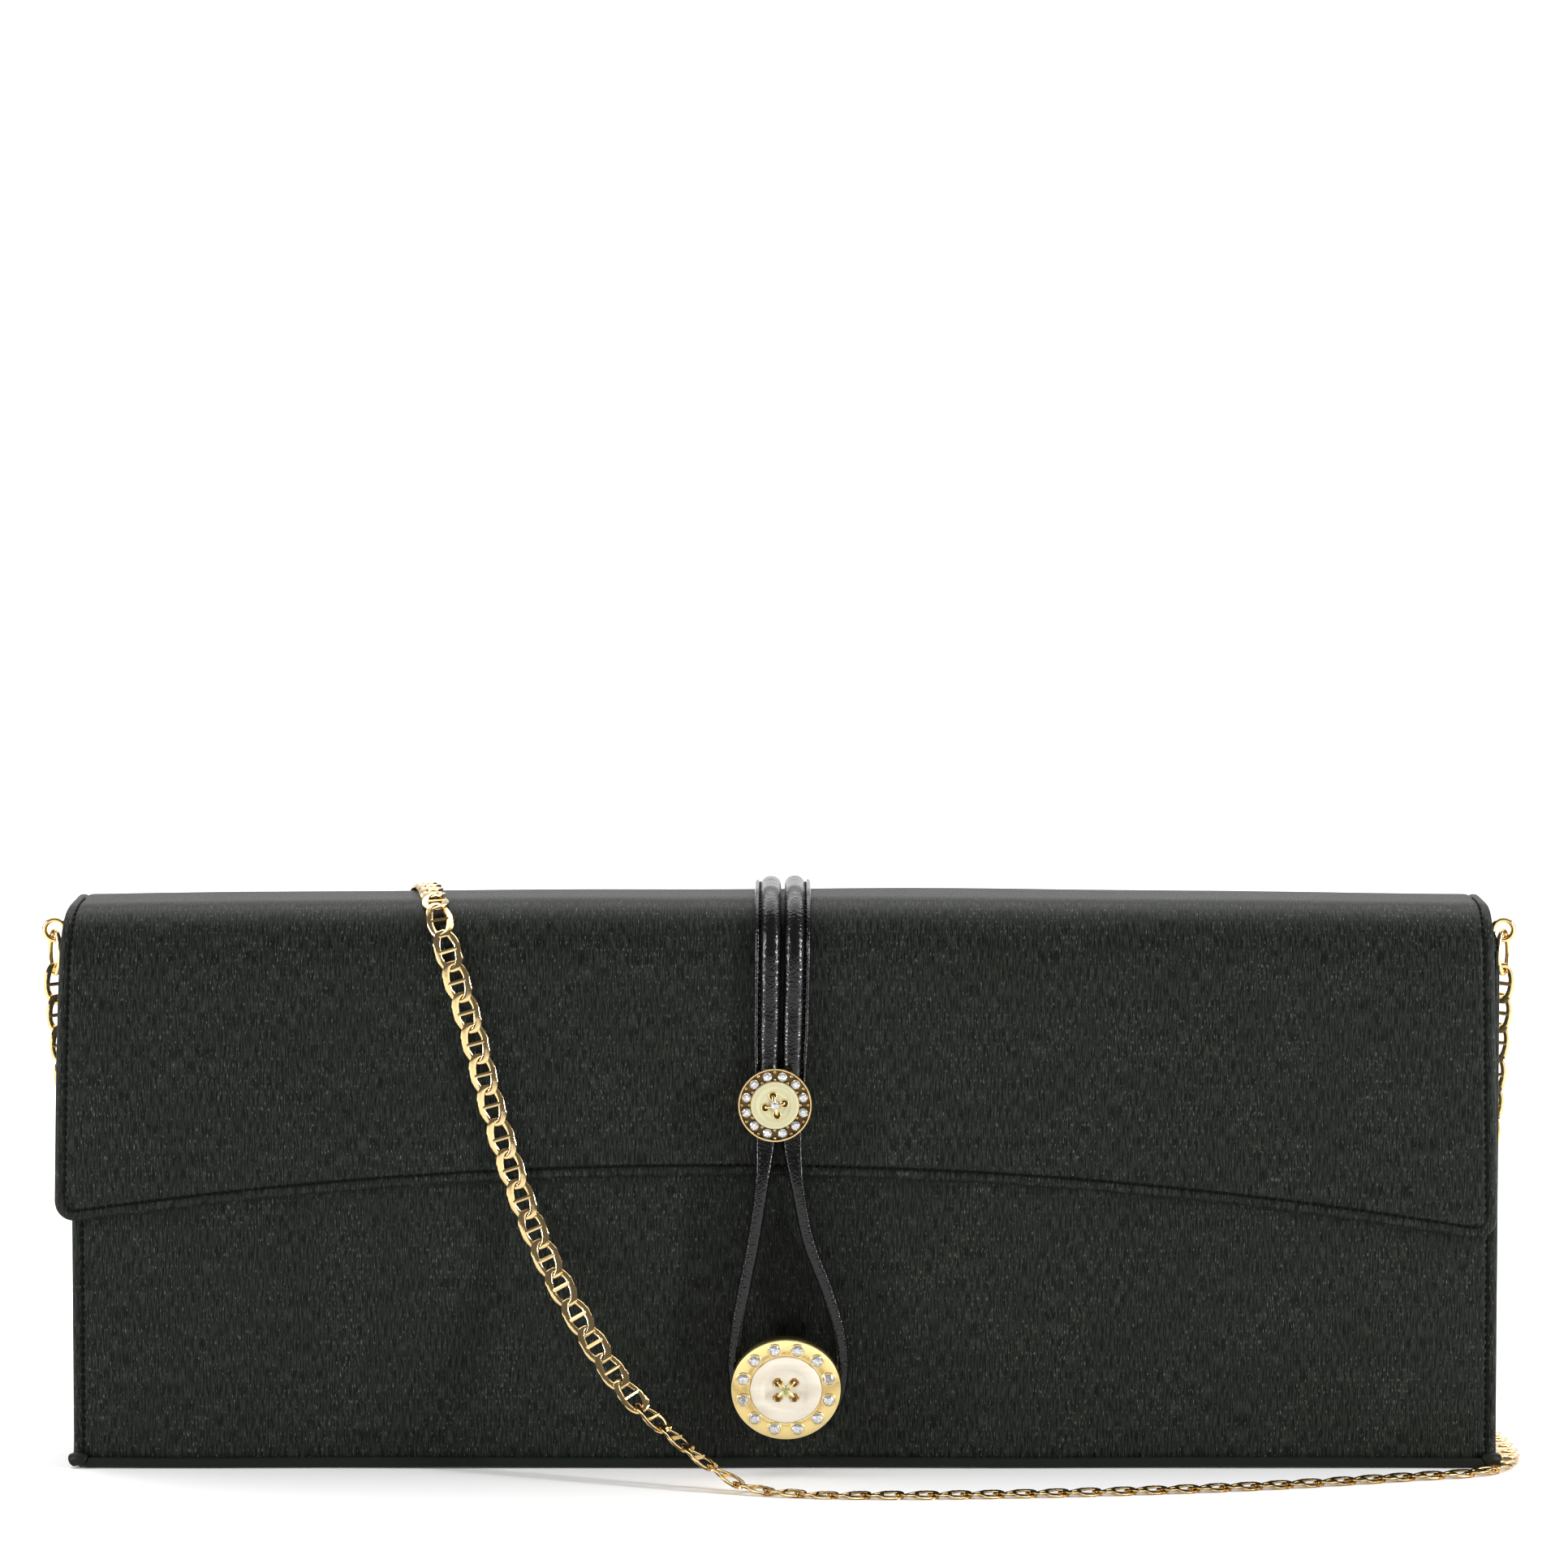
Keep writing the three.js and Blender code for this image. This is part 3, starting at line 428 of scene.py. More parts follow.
def stone_finish(name, light, dark, clear):
    f = Finish(name)
    flecks = f.noise(f.place(), 2600.0, 1.0)
    # Painted reflection: light and dark patches in the base colour stand in for the facets'
    # reflections.
    colour = f.mix(flecks.above(0.5, 0.3), dark, light)
    return f.gloss(Base_Color=colour, Metallic=0.55, Roughness=0.06 + 0.04 * flecks,
                   IOR=1.9, Coat_Weight=1.0, Coat_Roughness=0.02, Transmission_Weight=clear)


satin, lining, leather = satin_finish(), lining_finish(), leather_finish()
board, thread = board_finish(), thread_finish()
pale_gilt = gilt_finish("pale_gilt", (0.86, 0.64, 0.33), (0.76, 0.53, 0.24), 0.10)
yellow_gilt = gilt_finish("yellow_gilt", (0.98, 0.79, 0.38), (0.94, 0.72, 0.31), 0.16)
# A dark gilt: it lines the small button's stone channel, and is the painted shade seen through the
# cream disc's holes.
dark_gilt = gilt_finish("dark_gilt_channel_and_hole_shade", (0.20, 0.13, 0.05), (0.10, 0.06, 0.02), 0.32)
copper_gilt = gilt_finish("copper_eyelets", (0.62, 0.33, 0.10), (0.45, 0.22, 0.06), 0.2)
pearl = pearl_finish()
crystal = stone_finish("clear_crystal", (0.92, 0.93, 0.95), (0.42, 0.42, 0.44), 0.25)
peridot = stone_finish("green_crystal", (0.86, 0.88, 0.45), (0.55, 0.58, 0.20), 0.2)

# %% [markdown]
# ## The chain's route
# The chain leaves the left ring, hangs in a swag behind the case, comes over the top, falls down
# the flap and across the front, lies on the table, and goes round the right end to the other ring.
# It is one smooth curve through points settled in the CAD. Each row also says which way the flat of
# the chain faces there, because a flat chain lies on its side wherever it touches something.

# %% Route points: place in millimetres, then the way the flat side faces
CHAIN_ROUTE = np.array([
    [-159.1, 12, 104.6, -0.25, 1, 0],
    [-158.3, 13.5, 92, -0.3, 1, 0],
    [-156.6, 17.5, 76, -0.35, 1, 0],
    [-151, 22.5, 58, -0.3, 1, 0],
    [-142, 25, 43, -0.3, 1, 0],
    [-118, 27.5, 28, 0, 1, 0],
    [-97, 25, 47, 0, 1, 0],
    [-85, 21.6, 90, 0, 1, 0],
    [-80.8, 20.2, 112, 0, 1, 0],
    [-79.6, 18.6, 120, 0, 0.8, 0.7],
    [-78.3, 13.5, 122.4, 0, 0.15, 1],
    [-75.5, -8.7, 122.4, 0, 0, 1],
    [-74.4, -15.6, 120.5, 0, -0.55, 0.85],
    [-73, -20.3, 115.8, 0, -0.9, 0.5],
    [-70.8, -22.1, 108.5, 0, -1, 0.05],
    [-66.8, -22.1, 95, 0, -1, 0],
    [-61.5, -22.0, 75, 0, -1, 0],
    [-54.2, -22.4, 53.5, 0, -1, 0.05],
    [-46.2, -26.6, 37.7, 0, -1, 0.2],
    [-34, -34, 20, 0.3, -0.9, 0.5],
    [-25.3, -39, 12.1, 0.5, -0.35, 1],
    [-12, -47, 3.4, 0.35, -0.1, 1],
    [2, -52.3, 1.6, 0.1, 0, 1],
    [23, -54.3, 1.6, 0, 0, 1],
    [62, -51, 1.6, 0, 0, 1],
    [100, -43.5, 1.6, 0, 0, 1],
    [132, -33, 1.6, 0, 0, 1],
    [149.5, -26, 1.6, 0, 0, 1],
    [155.6, -13, 1.6, 0, 0, 1],
    [156.2, 8, 1.6, 0, 0, 1],
    [152, 32, 1.6, 0, 0, 1],
    [133, 53, 1.6, 0, 0, 1],
    [108, 58.5, 1.6, 0, 0, 1],
    [90, 48, 1.6, 0, 0, 1],
    [94, 36, 1.8, 0, 0.1, 1],
    [122, 29.5, 8, 0, 0.7, 0.7],
    [146, 24.5, 36, 0.3, 1, 0],
    [153.5, 22, 60, 0.3, 1, 0],
    [155.6, 17, 84, 0.25, 1, 0],
    [156.6, 12, 104.6, 0.2, 1, 0],
])
ON_TABLE = 0.95  # the flat links lie this much lower than a round cord would


# %% A smooth curve through points
def smooth_curve(points, steps=24):
    """Centripetal Catmull-Rom: knots a square root of each step apart, then cubic Hermite."""
    p = np.vstack([2 * points[0] - points[1], points, 2 * points[-1] - points[-2]])
    gap = np.sqrt(np.linalg.norm(np.diff(p[:, :3], axis=0), axis=1))[:, None]
    g0, g1, g2 = gap[:-2], gap[1:-1], gap[2:]
    p0, p1, p2, p3 = p[:-3], p[1:-2], p[2:-1], p[3:]
    m1 = ((p1 - p0) / g0 - (p2 - p0) / (g0 + g1) + (p2 - p1) / g1) * g1
    m2 = ((p2 - p1) / g1 - (p3 - p1) / (g1 + g2) + (p3 - p2) / g2) * g1
    t = np.linspace(0, 1, steps, endpoint=False)[None, :, None]
    p1, p2, m1, m2 = (a[:, None, :] for a in (p1, p2, m1, m2))
    from_start = (p1 * (1 + 2 * t) + m1 * t) * (1 - t) ** 2
    curve = from_start + (p2 * (3 - 2 * t) + m2 * (t - 1)) * t**2
    return np.vstack([curve.reshape(-1, points.shape[1]), points[-1]])


def spread(curve, distances):
    """The curve's rows at these distances along it."""
    total = walked(curve[:, :3])
    return np.stack([np.interp(distances, total, column) for column in curve.T], axis=1)


def unit(v):
    """Rows scaled to length one."""
    return v / np.linalg.norm(v, axis=-1, keepdims=True)


def frames_along(curve, facing):
    """Tangent, facing direction made square to it, and the third axis, for each row."""
    tangent = unit(np.gradient(curve, axis=0))
    facing = unit(facing - tangent * np.einsum("ij,ij->i", facing, tangent)[:, None])
    return tangent, facing, np.cross(facing, tangent)


route = smooth_curve(CHAIN_ROUTE)
lying = np.clip((4.0 - route[:, 2]) / 2.0, 0, 1)  # 1 on the table, 0 from 4 mm above it
route[:, 2] -= ON_TABLE * lying
route_length = walked(route[:, :3])[-1]
print(f"chain length {route_length:.0f} mm")

# %% [markdown]
# ## Anchor links
# Each link is an oval of wire with a bar across. The ends of a link are turned opposite ways, as
# in a curb chain, so that neighbours pass through one another; then the whole link is pressed flat
# and its faces filed level. One link is worked out once and copied along the route.

# %% One link
LINK_PITCH = 6.97
WIRE = 0.66
LINK_LONG = LINK_PITCH / 2 + WIRE
LINK_WIDE = 2.15
LINK_TWIST = math.radians(38)
PRESS = 0.50
FILED = 0.52
RING_STEPS, RING_SIDES = 22, 8
BAR_SIDES = 6


def link_points():
    """An oval of wire whose section turns with its place along the link, pressed and filed."""
    t = around(RING_STEPS)
    c, s = np.cos(t), np.sin(t)
    middle = columns(LINK_LONG * np.sign(c) * abs(c) ** 0.85,
                     LINK_WIDE * np.sign(s) * abs(s) ** 0.8, 0)
    outwards = unit(columns(c / LINK_LONG, s / LINK_WIDE, 0))
    a = around(RING_SIDES) + np.pi / RING_SIDES
    wide = WIRE * (1 + 0.12 * np.abs(s))
    ring = (middle[:, None] + (wide[:, None, None] * np.cos(a)[None, :, None]) * outwards[:, None]
            + WIRE * 1.15 * np.sin(a)[None, :, None] * np.array([0, 0, 1.0]))
    x = np.array([-1.0, 1.0])[:, None] * (LINK_WIDE - 0.2)
    b = around(BAR_SIDES) + np.pi / BAR_SIDES
    bar = columns(0.46 * np.cos(b), x, 0.95 * np.sin(b))
    points = np.vstack([ring.reshape(-1, 3), bar.reshape(-1, 3)])
    turn = LINK_TWIST * np.clip(points[:, 0] / (LINK_LONG - WIRE), -1.2, 1.2)
    y, z = points[:, 1].copy(), points[:, 2].copy()
    points[:, 1] = y * np.cos(turn) - z * np.sin(turn)
    points[:, 2] = PRESS * (y * np.sin(turn) + z * np.cos(turn))
    points[:, 1] *= 1 + 0.16 * (points[:, 0] / LINK_LONG) ** 2
    points[:, 2] = np.clip(points[:, 2], -FILED, FILED)
    ring_quads, _ = lattice(RING_STEPS, RING_SIDES, wrap_rings=True)
    bar_quads, bar_ends = lattice(2, BAR_SIDES, start=RING_STEPS * RING_SIDES)
    return points, ring_quads + bar_quads, bar_ends


def copies(points, quads, ends, origins, axes):
    """The same small shape at many places: point = origin + x*X + y*Y + z*Z, all at once."""
    x, y, z = (axis[:, None] for axis in axes)
    placed = (origins[:, None] + points[None, :, :1] * x + points[None, :, 1:2] * y
              + points[None, :, 2:] * z)
    shift = (np.arange(len(origins)) * len(points))[:, None, None]
    shapes = [np.asarray(block) for block in quads] + [np.asarray([end]) for end in ends]
    return placed.reshape(-1, 3), [(f[None] + shift).reshape(-1, f.shape[1]) for f in shapes]


# %% Lay the links along the route
link_count = int(round((route_length - 2 * WIRE) / LINK_PITCH))
link_at = (np.arange(link_count) + 0.5) * route_length / link_count
dense = spread(route, np.linspace(0, route_length, 1700))
tangent, facing, across = frames_along(dense[:, :3], dense[:, 3:])
pick = np.round(link_at / route_length * (len(dense) - 1)).astype(int)
points, quads, ends = link_points()
placed, blocks = copies(points, quads, ends, dense[pick, :3],
                        (tangent[pick], across[pick], facing[pick]))
chain = make("anchor_chain", placed, blocks, pale_gilt, sharp=52)
settle(chain, "case", "gold", "chain_left", "chain_drape", "chain_right")
print(link_count, "links")


# %% [markdown]
# ## Side eyes and jump rings
# A wire eye is screwed into each end of the case: a shank, then a curl of wire that nearly closes.
# An oval jump ring hangs in it and takes the chain. Both are round wire carried along a path.

# %% Wire along a path
def wire(name, path, radius, finish, facing=(0, 1, 0), sides=14, closed=False, taper=0.35):
    """A circle carried along a path; the last ring at each end is smaller, which rounds the tip."""
    tangent = unit(np.roll(path, -1, 0) - np.roll(path, 1, 0) if closed
                   else np.gradient(path, axis=0))
    side = unit(np.cross(tangent, np.asarray(facing, float)[None]))
    up = np.cross(side, tangent)
    r = np.full(len(path), float(radius))
    if not closed:
        r[[0, -1]] *= taper
    a = around(sides)
    ring = path[:, None] + r[:, None, None] * (np.cos(a)[None, :, None] * side[:, None]
                                               + np.sin(a)[None, :, None] * up[:, None])
    faces, caps = lattice(len(path), sides, wrap_rings=closed)
    return make(name, ring, faces, finish, caps)


EYE_WIRE = RING_WIRE = 0.6
EYE_CURL = 2.25
EYE_LOWER, RING_LOWER = 1.0, 1.2  # how far each hangs under its CAD node
RING_HALF_WIDE = 1.95
RING_TALLER = 0.25
RING_TURN = 38  # degrees off square to the case


def eye_path(side, centre):
    """A shank along X from inside the case, then most of a circle in the X-Z plane."""
    shank_x = np.linspace(-side * 8.0, -side * 2.2, 8)
    shank = columns(centre[0] + shank_x, centre[1], centre[2] - 0.4)
    a = np.radians(np.linspace(192, -128, 44))
    curl = columns(centre[0] + side * EYE_CURL * np.cos(a),
                   centre[1] + np.linspace(-0.2, 0.75, 44), centre[2] + EYE_CURL * np.sin(a))
    return np.vstack([shank, curl])


SIDES = ((-1, "left"), (1, "right"))
for side, name in SIDES:
    low, high = box_mm(f"side_eye_{name}")
    eye_centre = (low + high) / 2 - np.array([0, 0, EYE_LOWER])
    eye_centre[0] = (high[0] if side > 0 else low[0]) - side * 2.82
    eye = wire(f"wire_eye_{name}", eye_path(side, eye_centre), EYE_WIRE, pale_gilt)
    settle(eye, "case", "gold", f"side_eye_{name}")
    low, high = box_mm(f"chain_ring_{name}")
    a = around(48)
    turn = math.radians(90 - side * RING_TURN)
    half_high = (high[2] - low[2]) / 2 + RING_TALLER
    oval = columns(RING_HALF_WIDE * np.cos(a) * math.cos(turn),
                   RING_HALF_WIDE * np.cos(a) * math.sin(turn), half_high * np.sin(a))
    oval += (low + high) / 2 - np.array([0, 0, RING_LOWER])
    ring = wire(f"jump_ring_{name}", oval, RING_WIRE, pale_gilt,
                (math.sin(turn), -math.cos(turn), 0), closed=True)
    settle(ring, "case", "gold", f"chain_ring_{name}")

# %% [markdown]
# ## Cloth as a shell
# A panel of covered board is a thin shell carried along a section drawn in Y and Z. Near its edges
# the cloth turns round a folded rim, and a sewn line pulls it in a little. One function does every
# panel: it needs the section, the grid of distances, and how far each point is from an edge.

# %% Sections in Y and Z
def arc(cy, cz, radius, start, end, steps=24):
    """Points on a circle, angles in degrees from +Y towards +Z."""
    a = np.radians(np.linspace(start, end, steps))
    return columns(cy + radius * np.cos(a), cz + radius * np.sin(a))


def section(*parts):
    """Joins stretches of points, leaving out a point that repeats the one before."""
    corners = np.vstack(parts)
    keep = np.r_[True, np.linalg.norm(np.diff(corners, axis=0), axis=1) > 1e-6]
    return corners[keep]


def on_section(path, s):
    """Place and outward normal (the direction of travel turned right) at distances s."""
    total = walked(path)

    def at(d):
        return columns(np.interp(d, total, path[:, 0]), np.interp(d, total, path[:, 1]))

    ahead = unit(at(np.clip(s + 0.4, 0, total[-1])) - at(np.clip(s - 0.4, 0, total[-1])))
    return at(s), columns(ahead[..., 1], -ahead[..., 0])


NEAR = np.array([0, 0.05, 0.16, 0.34, 0.6, 0.9, 1.3, 1.7, 2.0, 2.25, 2.5, 2.8, 3.3, 4.2])


def spaced(low, high, count):
    """Rows from low to high: close together near both ends, even between."""
    low, high = np.broadcast_arrays(np.asarray(low, float), np.asarray(high, float))
    first = low[None] + NEAR.reshape(-1, *[1] * low.ndim)
    last = high[None] - NEAR[::-1].reshape(-1, *[1] * low.ndim)
    t = np.linspace(0, 1, count + 2)[1:-1].reshape(-1, *[1] * low.ndim)
    return np.concatenate([first, first[-1] + (last[0] - first[-1]) * t, last])


# %% The shell itself
SEAM = 2.3  # the sewn line's distance from a folded edge


HEM = 2.6  # how far a turned-in edge reaches


def rimmed(edge):
    """Distances from the edge, none negative, and exactly nothing on the outline."""
    edge = np.clip(edge, 0, None)
    edge[0, :] = edge[-1, :] = edge[:, 0] = edge[:, -1] = 0
    return edge


def shell(name, path, s, x, edge, finish, thick=2.2, wall=0.9, bulge=0.0, seam=0.22, seam_on=1.0):
    """Outer face = section + normal * bulge, less a quarter-round at the edge and a dip along the
    seam; inner face lies a wall's thickness behind, and a hem's thickness near the edge."""
    place, normal = on_section(path, s)
    turned = quarter_round(edge, thick / 2)
    dip = seam * 1.4 * seam_on * np.exp(-(((edge - SEAM) / 0.42) ** 2))
    depth_in = thick - turned + (wall - thick) * ease((edge - HEM) / 0.35)

    def face(depth):
        yz = place + normal * (bulge - depth)[..., None]
        return columns(x, yz[..., 0], yz[..., 1])

    outer, inner = face(turned + dip * (edge > 0.3 * thick)), face(depth_in)
    top = grid_of(*s.shape)
    back = top + s.size
    for rim in (np.s_[0, :], np.s_[-1, :], np.s_[:, 0], np.s_[:, -1]):
        back[rim] = top[rim]
    # A band along the sewn line, kept on the points as sewn: the satin finish darkens it as painted
    # shade in the groove.
    line = seam_on * np.exp(-(((edge - SEAM) / 0.34) ** 2))
    return make(name, [outer, inner], [patch(top), patch(back)[:, ::-1]], finish,
                uv=[columns(x, s)] * 2, sewn=[line, line])


def box_edge(to_side, to_end, corner):
    """Distance inside a rounded corner: the usual rounded-box distance, turned inside out."""
    qx, qz = corner - to_side, corner - to_end
    outside = np.hypot(np.clip(qx, 0, None), np.clip(qz, 0, None))
    return corner - (outside + np.minimum(np.maximum(qx, qz), 0))


def ripple(x, s, size, seed):
    """A slow unevenness of cloth: a few sine waves of unlike lengths, with fixed phases."""
    waves = [(0.021, 0.047, 0.3), (0.049, 0.031, 1.7), (0.083, 0.012, 4.1), (0.036, 0.09, 2.6)]
    return size * sum(np.sin(x * a + s * b + c + seed) for a, b, c in waves) / 2.2


# %% [markdown]
# ## Back and flap in one cloth
# On the purse the cloth of the back runs on over the top and down as the flap, so it is one piece
# here too, from the base behind to the curved edge in front.

# %% The flap's section and outline
cover_low, cover_high = box_mm("flap_cover")
back_low, back_high = box_mm("back_cover")
FLAP_TOP = cover_high[2]
FLAP_FRONT = cover_low[1]
BACK = back_high[1]
ROLL = 12.0
HINGE_ROUND = 3.6
FLAP_LEFT, FLAP_RIGHT = cover_low[0], cover_high[0]
FLAP_MIDDLE = (FLAP_LEFT + FLAP_RIGHT) / 2
FLAP_HALF = (FLAP_RIGHT - FLAP_LEFT) / 2
EDGE_HEIGHT = 64.5
FLAP_ROUND = 5.0

flap_path = section(
    [[BACK, 0.9]],
    arc(BACK - HINGE_ROUND, FLAP_TOP - HINGE_ROUND, HINGE_ROUND, 0, 90),
    arc(FLAP_FRONT + ROLL, FLAP_TOP - ROLL, ROLL, 90, 180, 40),
    [[FLAP_FRONT, 30.0]],
)
UP_BACK = FLAP_TOP - HINGE_ROUND - 0.9


def eased(path, reach):
    """The same path with its bends eased: every point becomes the mean of its near neighbours."""
    total = walked(path)
    d = np.linspace(0, total[-1], 1200)
    even = np.stack([np.interp(d, total, column) for column in path.T], 1)
    half = int(round(reach / 2 / (d[1] - d[0])))
    weight = np.hanning(2 * half + 3)[1:-1]
    wide = np.pad(even, ((half, half), (0, 0)), "reflect", reflect_type="odd")
    return np.stack([np.convolve(column, weight / weight.sum(), "valid") for column in wide.T], 1)


flap_path = eased(flap_path, 12.0)
TO_TOP = UP_BACK + HINGE_ROUND * math.pi / 2
TO_ROLL = TO_TOP + (BACK - HINGE_ROUND) - (FLAP_FRONT + ROLL)
TO_FRONT = TO_ROLL + ROLL * math.pi / 2
ROLL_END_Z = FLAP_TOP - ROLL


def arch(x):
    """The lower edge: a shallow arch, its ends lower, leaning a little down to the right."""
    u = (x - FLAP_MIDDLE) / FLAP_HALF
    return EDGE_HEIGHT - 12.4 * u * u - 1.9 * u


def flap_bulge(x, s):
    """The top is crowned and lower at its ends; back and front are slack by under a millimetre."""
    u = (x - FLAP_MIDDLE) / FLAP_HALF
    over = np.clip((s - UP_BACK + 6) / 14, 0, 1) * np.clip((TO_FRONT + 10 - s) / 24, 0, 1)
    belly = np.clip((UP_BACK - s) / 90, 0, 1) * np.clip(s / 30, 0, 1)
    turned_back = np.clip(1 - (FLAP_HALF - np.abs(x - FLAP_MIDDLE)) / 11, 0, 1) ** 2
    return (ease(over) * (-0.1 + 1.25 * (1 - u * u)) + 0.8 * ease(belly) * (1 - u**4)
            + ripple(x, s, 0.16, 0.0) - 0.75 * turned_back * np.clip((s - TO_ROLL) / 22, 0, 1))


def left_edge(flare):
    """X of the flap's left side: flare is 0 at the roll and 1 at the bottom."""
    return FLAP_LEFT + 1.2 * (1 - flare) + 1.2 * (1 - flare) ** 3


def right_edge(flare):
    """X of the flap's right side."""
    return FLAP_RIGHT - 1.2 * (1 - flare)


# %% Build it
across_mm = spaced(0, 2 * FLAP_HALF, 84)
x_flat = FLAP_LEFT + across_mm
corner_rise = quarter_round(within(x_flat, FLAP_LEFT, FLAP_RIGHT), FLAP_ROUND)
end_s = TO_FRONT + ROLL_END_Z - (arch(x_flat) + corner_rise)
S = spaced(0, end_s, 150)
climb = ease((S - UP_BACK + 12) / 16)
flare = np.clip((S - TO_ROLL) / (end_s.mean() - TO_ROLL), 0, 1)
left = back_low[0] + (left_edge(flare) - back_low[0]) * climb
right = back_high[0] + (right_edge(flare) - back_high[0]) * climb
X = left + across_mm * (right - left) / (2 * FLAP_HALF)
to_end = within(S, 0, TO_FRONT + ROLL_END_Z - arch(X))
edge = rimmed(box_edge(within(X, left, right),
                       np.where(S > TO_FRONT, to_end, np.minimum(S, 50.0)),
                       np.where(S > TO_FRONT, FLAP_ROUND, 0.5)))
flap_cloth = shell("satin_back_and_flap", flap_path, S, X, edge, satin, bulge=flap_bulge(X, S))
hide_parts("back_cover", "flap_cover", "flap_board")
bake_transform(flap_cloth)

# %% [markdown]
# ## Front and base
# The front panel turns under and runs back as the base, one cloth over two boards, ending in the
# seam behind.

# %% Front and base
front_low, front_high = box_mm("front_cover")
FRONT = front_low[1]
CASE_END = front_high[0]
front_path = section(
    [[FRONT, front_high[2]]],
    arc(FRONT + 1.4, 1.4, 1.4, 180, 270, 10),
    [[BACK - 0.2, 0.0]],
)
front_length = walked(front_path)[-1]
S, X = np.meshgrid(spaced(0, front_length, 58), spaced(-CASE_END, CASE_END, 70), indexing="ij")
to_side = within(X, -CASE_END, CASE_END)
edge = rimmed(box_edge(to_side, within(S, 0, front_length), 0.6))
on_front = (S < front_high[2] - 2).astype(float)


def front_bulge(x, s):
    """Fullest half way up, turning back a little towards the sides; nothing under the base."""
    full = np.sin(np.pi * np.clip(1 - s / front_high[2], 0, 1)) * (1 - (x / CASE_END) ** 6)
    turned_back = np.clip(1 - (CASE_END - np.abs(x)) / 11, 0, 1) ** 2
    fade = np.clip((front_high[2] - 1 - s) / 4, 0, 1)
    return fade * (0.9 * full + ripple(x, s, 0.14, 2.0) - 0.45 * turned_back)


seam_at = np.where(to_side < 3.5, on_front, 0.0)  # only the sides are sewn through
front_cloth = shell("satin_front_and_base", front_path, S, X, edge, satin,
                    bulge=front_bulge(X, S), seam_on=seam_at)
settle(front_cloth, "case", "satin", "front_cover", "base_cover")


# %% [markdown]
# ## End walls
# Each end is a soft gusset: it folds inwards down its middle, more at the top than at the base, so
# that the purse closes flat.

# %% Gussets
def gusset(name, side):
    """x = end - fold(y, z), a soft V across the depth; the top follows the flap's roll."""
    half, tall, rim_round = 16.9, 116.3, 0.6
    y = spaced(-half, half, 18)
    under_roll = 108.9 + np.sqrt(np.clip(9.3**2 - (y + 8.7) ** 2, 0, None)) * 0.92 - 1.6
    z = spaced(3.8, np.minimum(np.where(y < -8.5, under_roll, tall), tall), 30)
    yy = np.broadcast_to(y, z.shape)
    v = 1 - np.abs(yy) / half
    soft = np.sqrt(v * v + 0.02) - math.sqrt(0.02)
    fold = (1.6 + 2.2 * (z / tall)) * soft + 0.25 * np.sin(z * 0.14) * v
    round_in = quarter_round(half - np.abs(yy), rim_round)
    outer = columns(side * (CASE_END - 0.25 - fold - round_in), yy, z)
    inner = columns(side * (CASE_END - 1.45 - fold + round_in), yy, z)
    top_i = grid_of(*z.shape)
    back_i = top_i + z.size
    rim = np.concatenate([top_i[0, :], top_i[1:, -1], top_i[-1, -2::-1], top_i[-2:0:-1, 0]])
    rim_b = rim + z.size
    wall = np.stack([rim, rim_b, np.roll(rim_b, -1), np.roll(rim, -1)], -1)
    return make(name, [outer, inner], [patch(top_i), patch(back_i)[:, ::-1], wall[:, ::-1]],
                satin, uv=[columns(yy, z)] * 2)


for side, name in SIDES:
    settle(gusset(f"satin_gusset_{name}", side), "case", "satin", f"gusset_{name}")

# %% [markdown]
# ## Lining and pocket
# Inside, a thin lining covers the boards in one sheet, and a patch pocket is sewn to the back. The
# flap has its own lining, which runs over the fold with it.

# %% Case lining
_, front_lining_high = box_mm("front_lining")
lining_low, lining_high = box_mm("back_lining")
IN = lining_high[1]
lining_path = section(
    [[-IN, front_lining_high[2] + 0.6]],
    arc(-IN + 2, 3.0 + 2, 2, 180, 270, 8),
    arc(IN - 2, 3.0 + 2, 2, 270, 360, 8),
    [[IN, lining_high[2] + 0.6]],
)
lining_length = walked(lining_path)[-1]
LINED_END = CASE_END - 1.7
S, X = np.meshgrid(spaced(0, lining_length, 70), spaced(-LINED_END, LINED_END, 60), indexing="ij")
edge = rimmed(np.minimum(within(X, -LINED_END, LINED_END), within(S, 0, lining_length)))
inner_lining = shell("lining_inside", lining_path, S, X, edge, lining, thick=0.6, wall=0.6,
                     seam=0.0, bulge=-np.abs(ripple(X, S, 0.2, 5.0)))
settle(inner_lining, "case", "lining", "front_lining", "back_lining", "base_lining")

# %% Flap lining
INNER = 2.0
INNER_ROUND = 2.4
lining_back = lining_low[1] + 0.1
lining_fold = section(
    [[lining_back, 108.0]],
    arc(lining_back - INNER_ROUND, FLAP_TOP - INNER - INNER_ROUND, INNER_ROUND, 0, 90, 12),
    arc(FLAP_FRONT + ROLL, FLAP_TOP - ROLL, ROLL - INNER, 90, 180, 30),
    [[FLAP_FRONT + INNER, 30.0]],
)
fold_front = walked(lining_fold)[-1] - (ROLL_END_Z - 30.0)
x_in = spaced(FLAP_MIDDLE - 149.0, FLAP_MIDDLE + 149.0, 66)
end_in = fold_front + ROLL_END_Z - (arch(x_in) + 3.2)
S = spaced(0, end_in, 76)
X = np.broadcast_to(x_in, S.shape)
edge = rimmed(np.minimum(within(X, x_in[0], x_in[-1]), within(S, 0, end_in)))
flap_inside = shell("lining_flap", lining_fold, S, X, edge, lining, thick=0.5, wall=0.5,
                    seam=0.0, bulge=-0.15 + 0 * S)
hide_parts("flap_lining")
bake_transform(flap_inside)

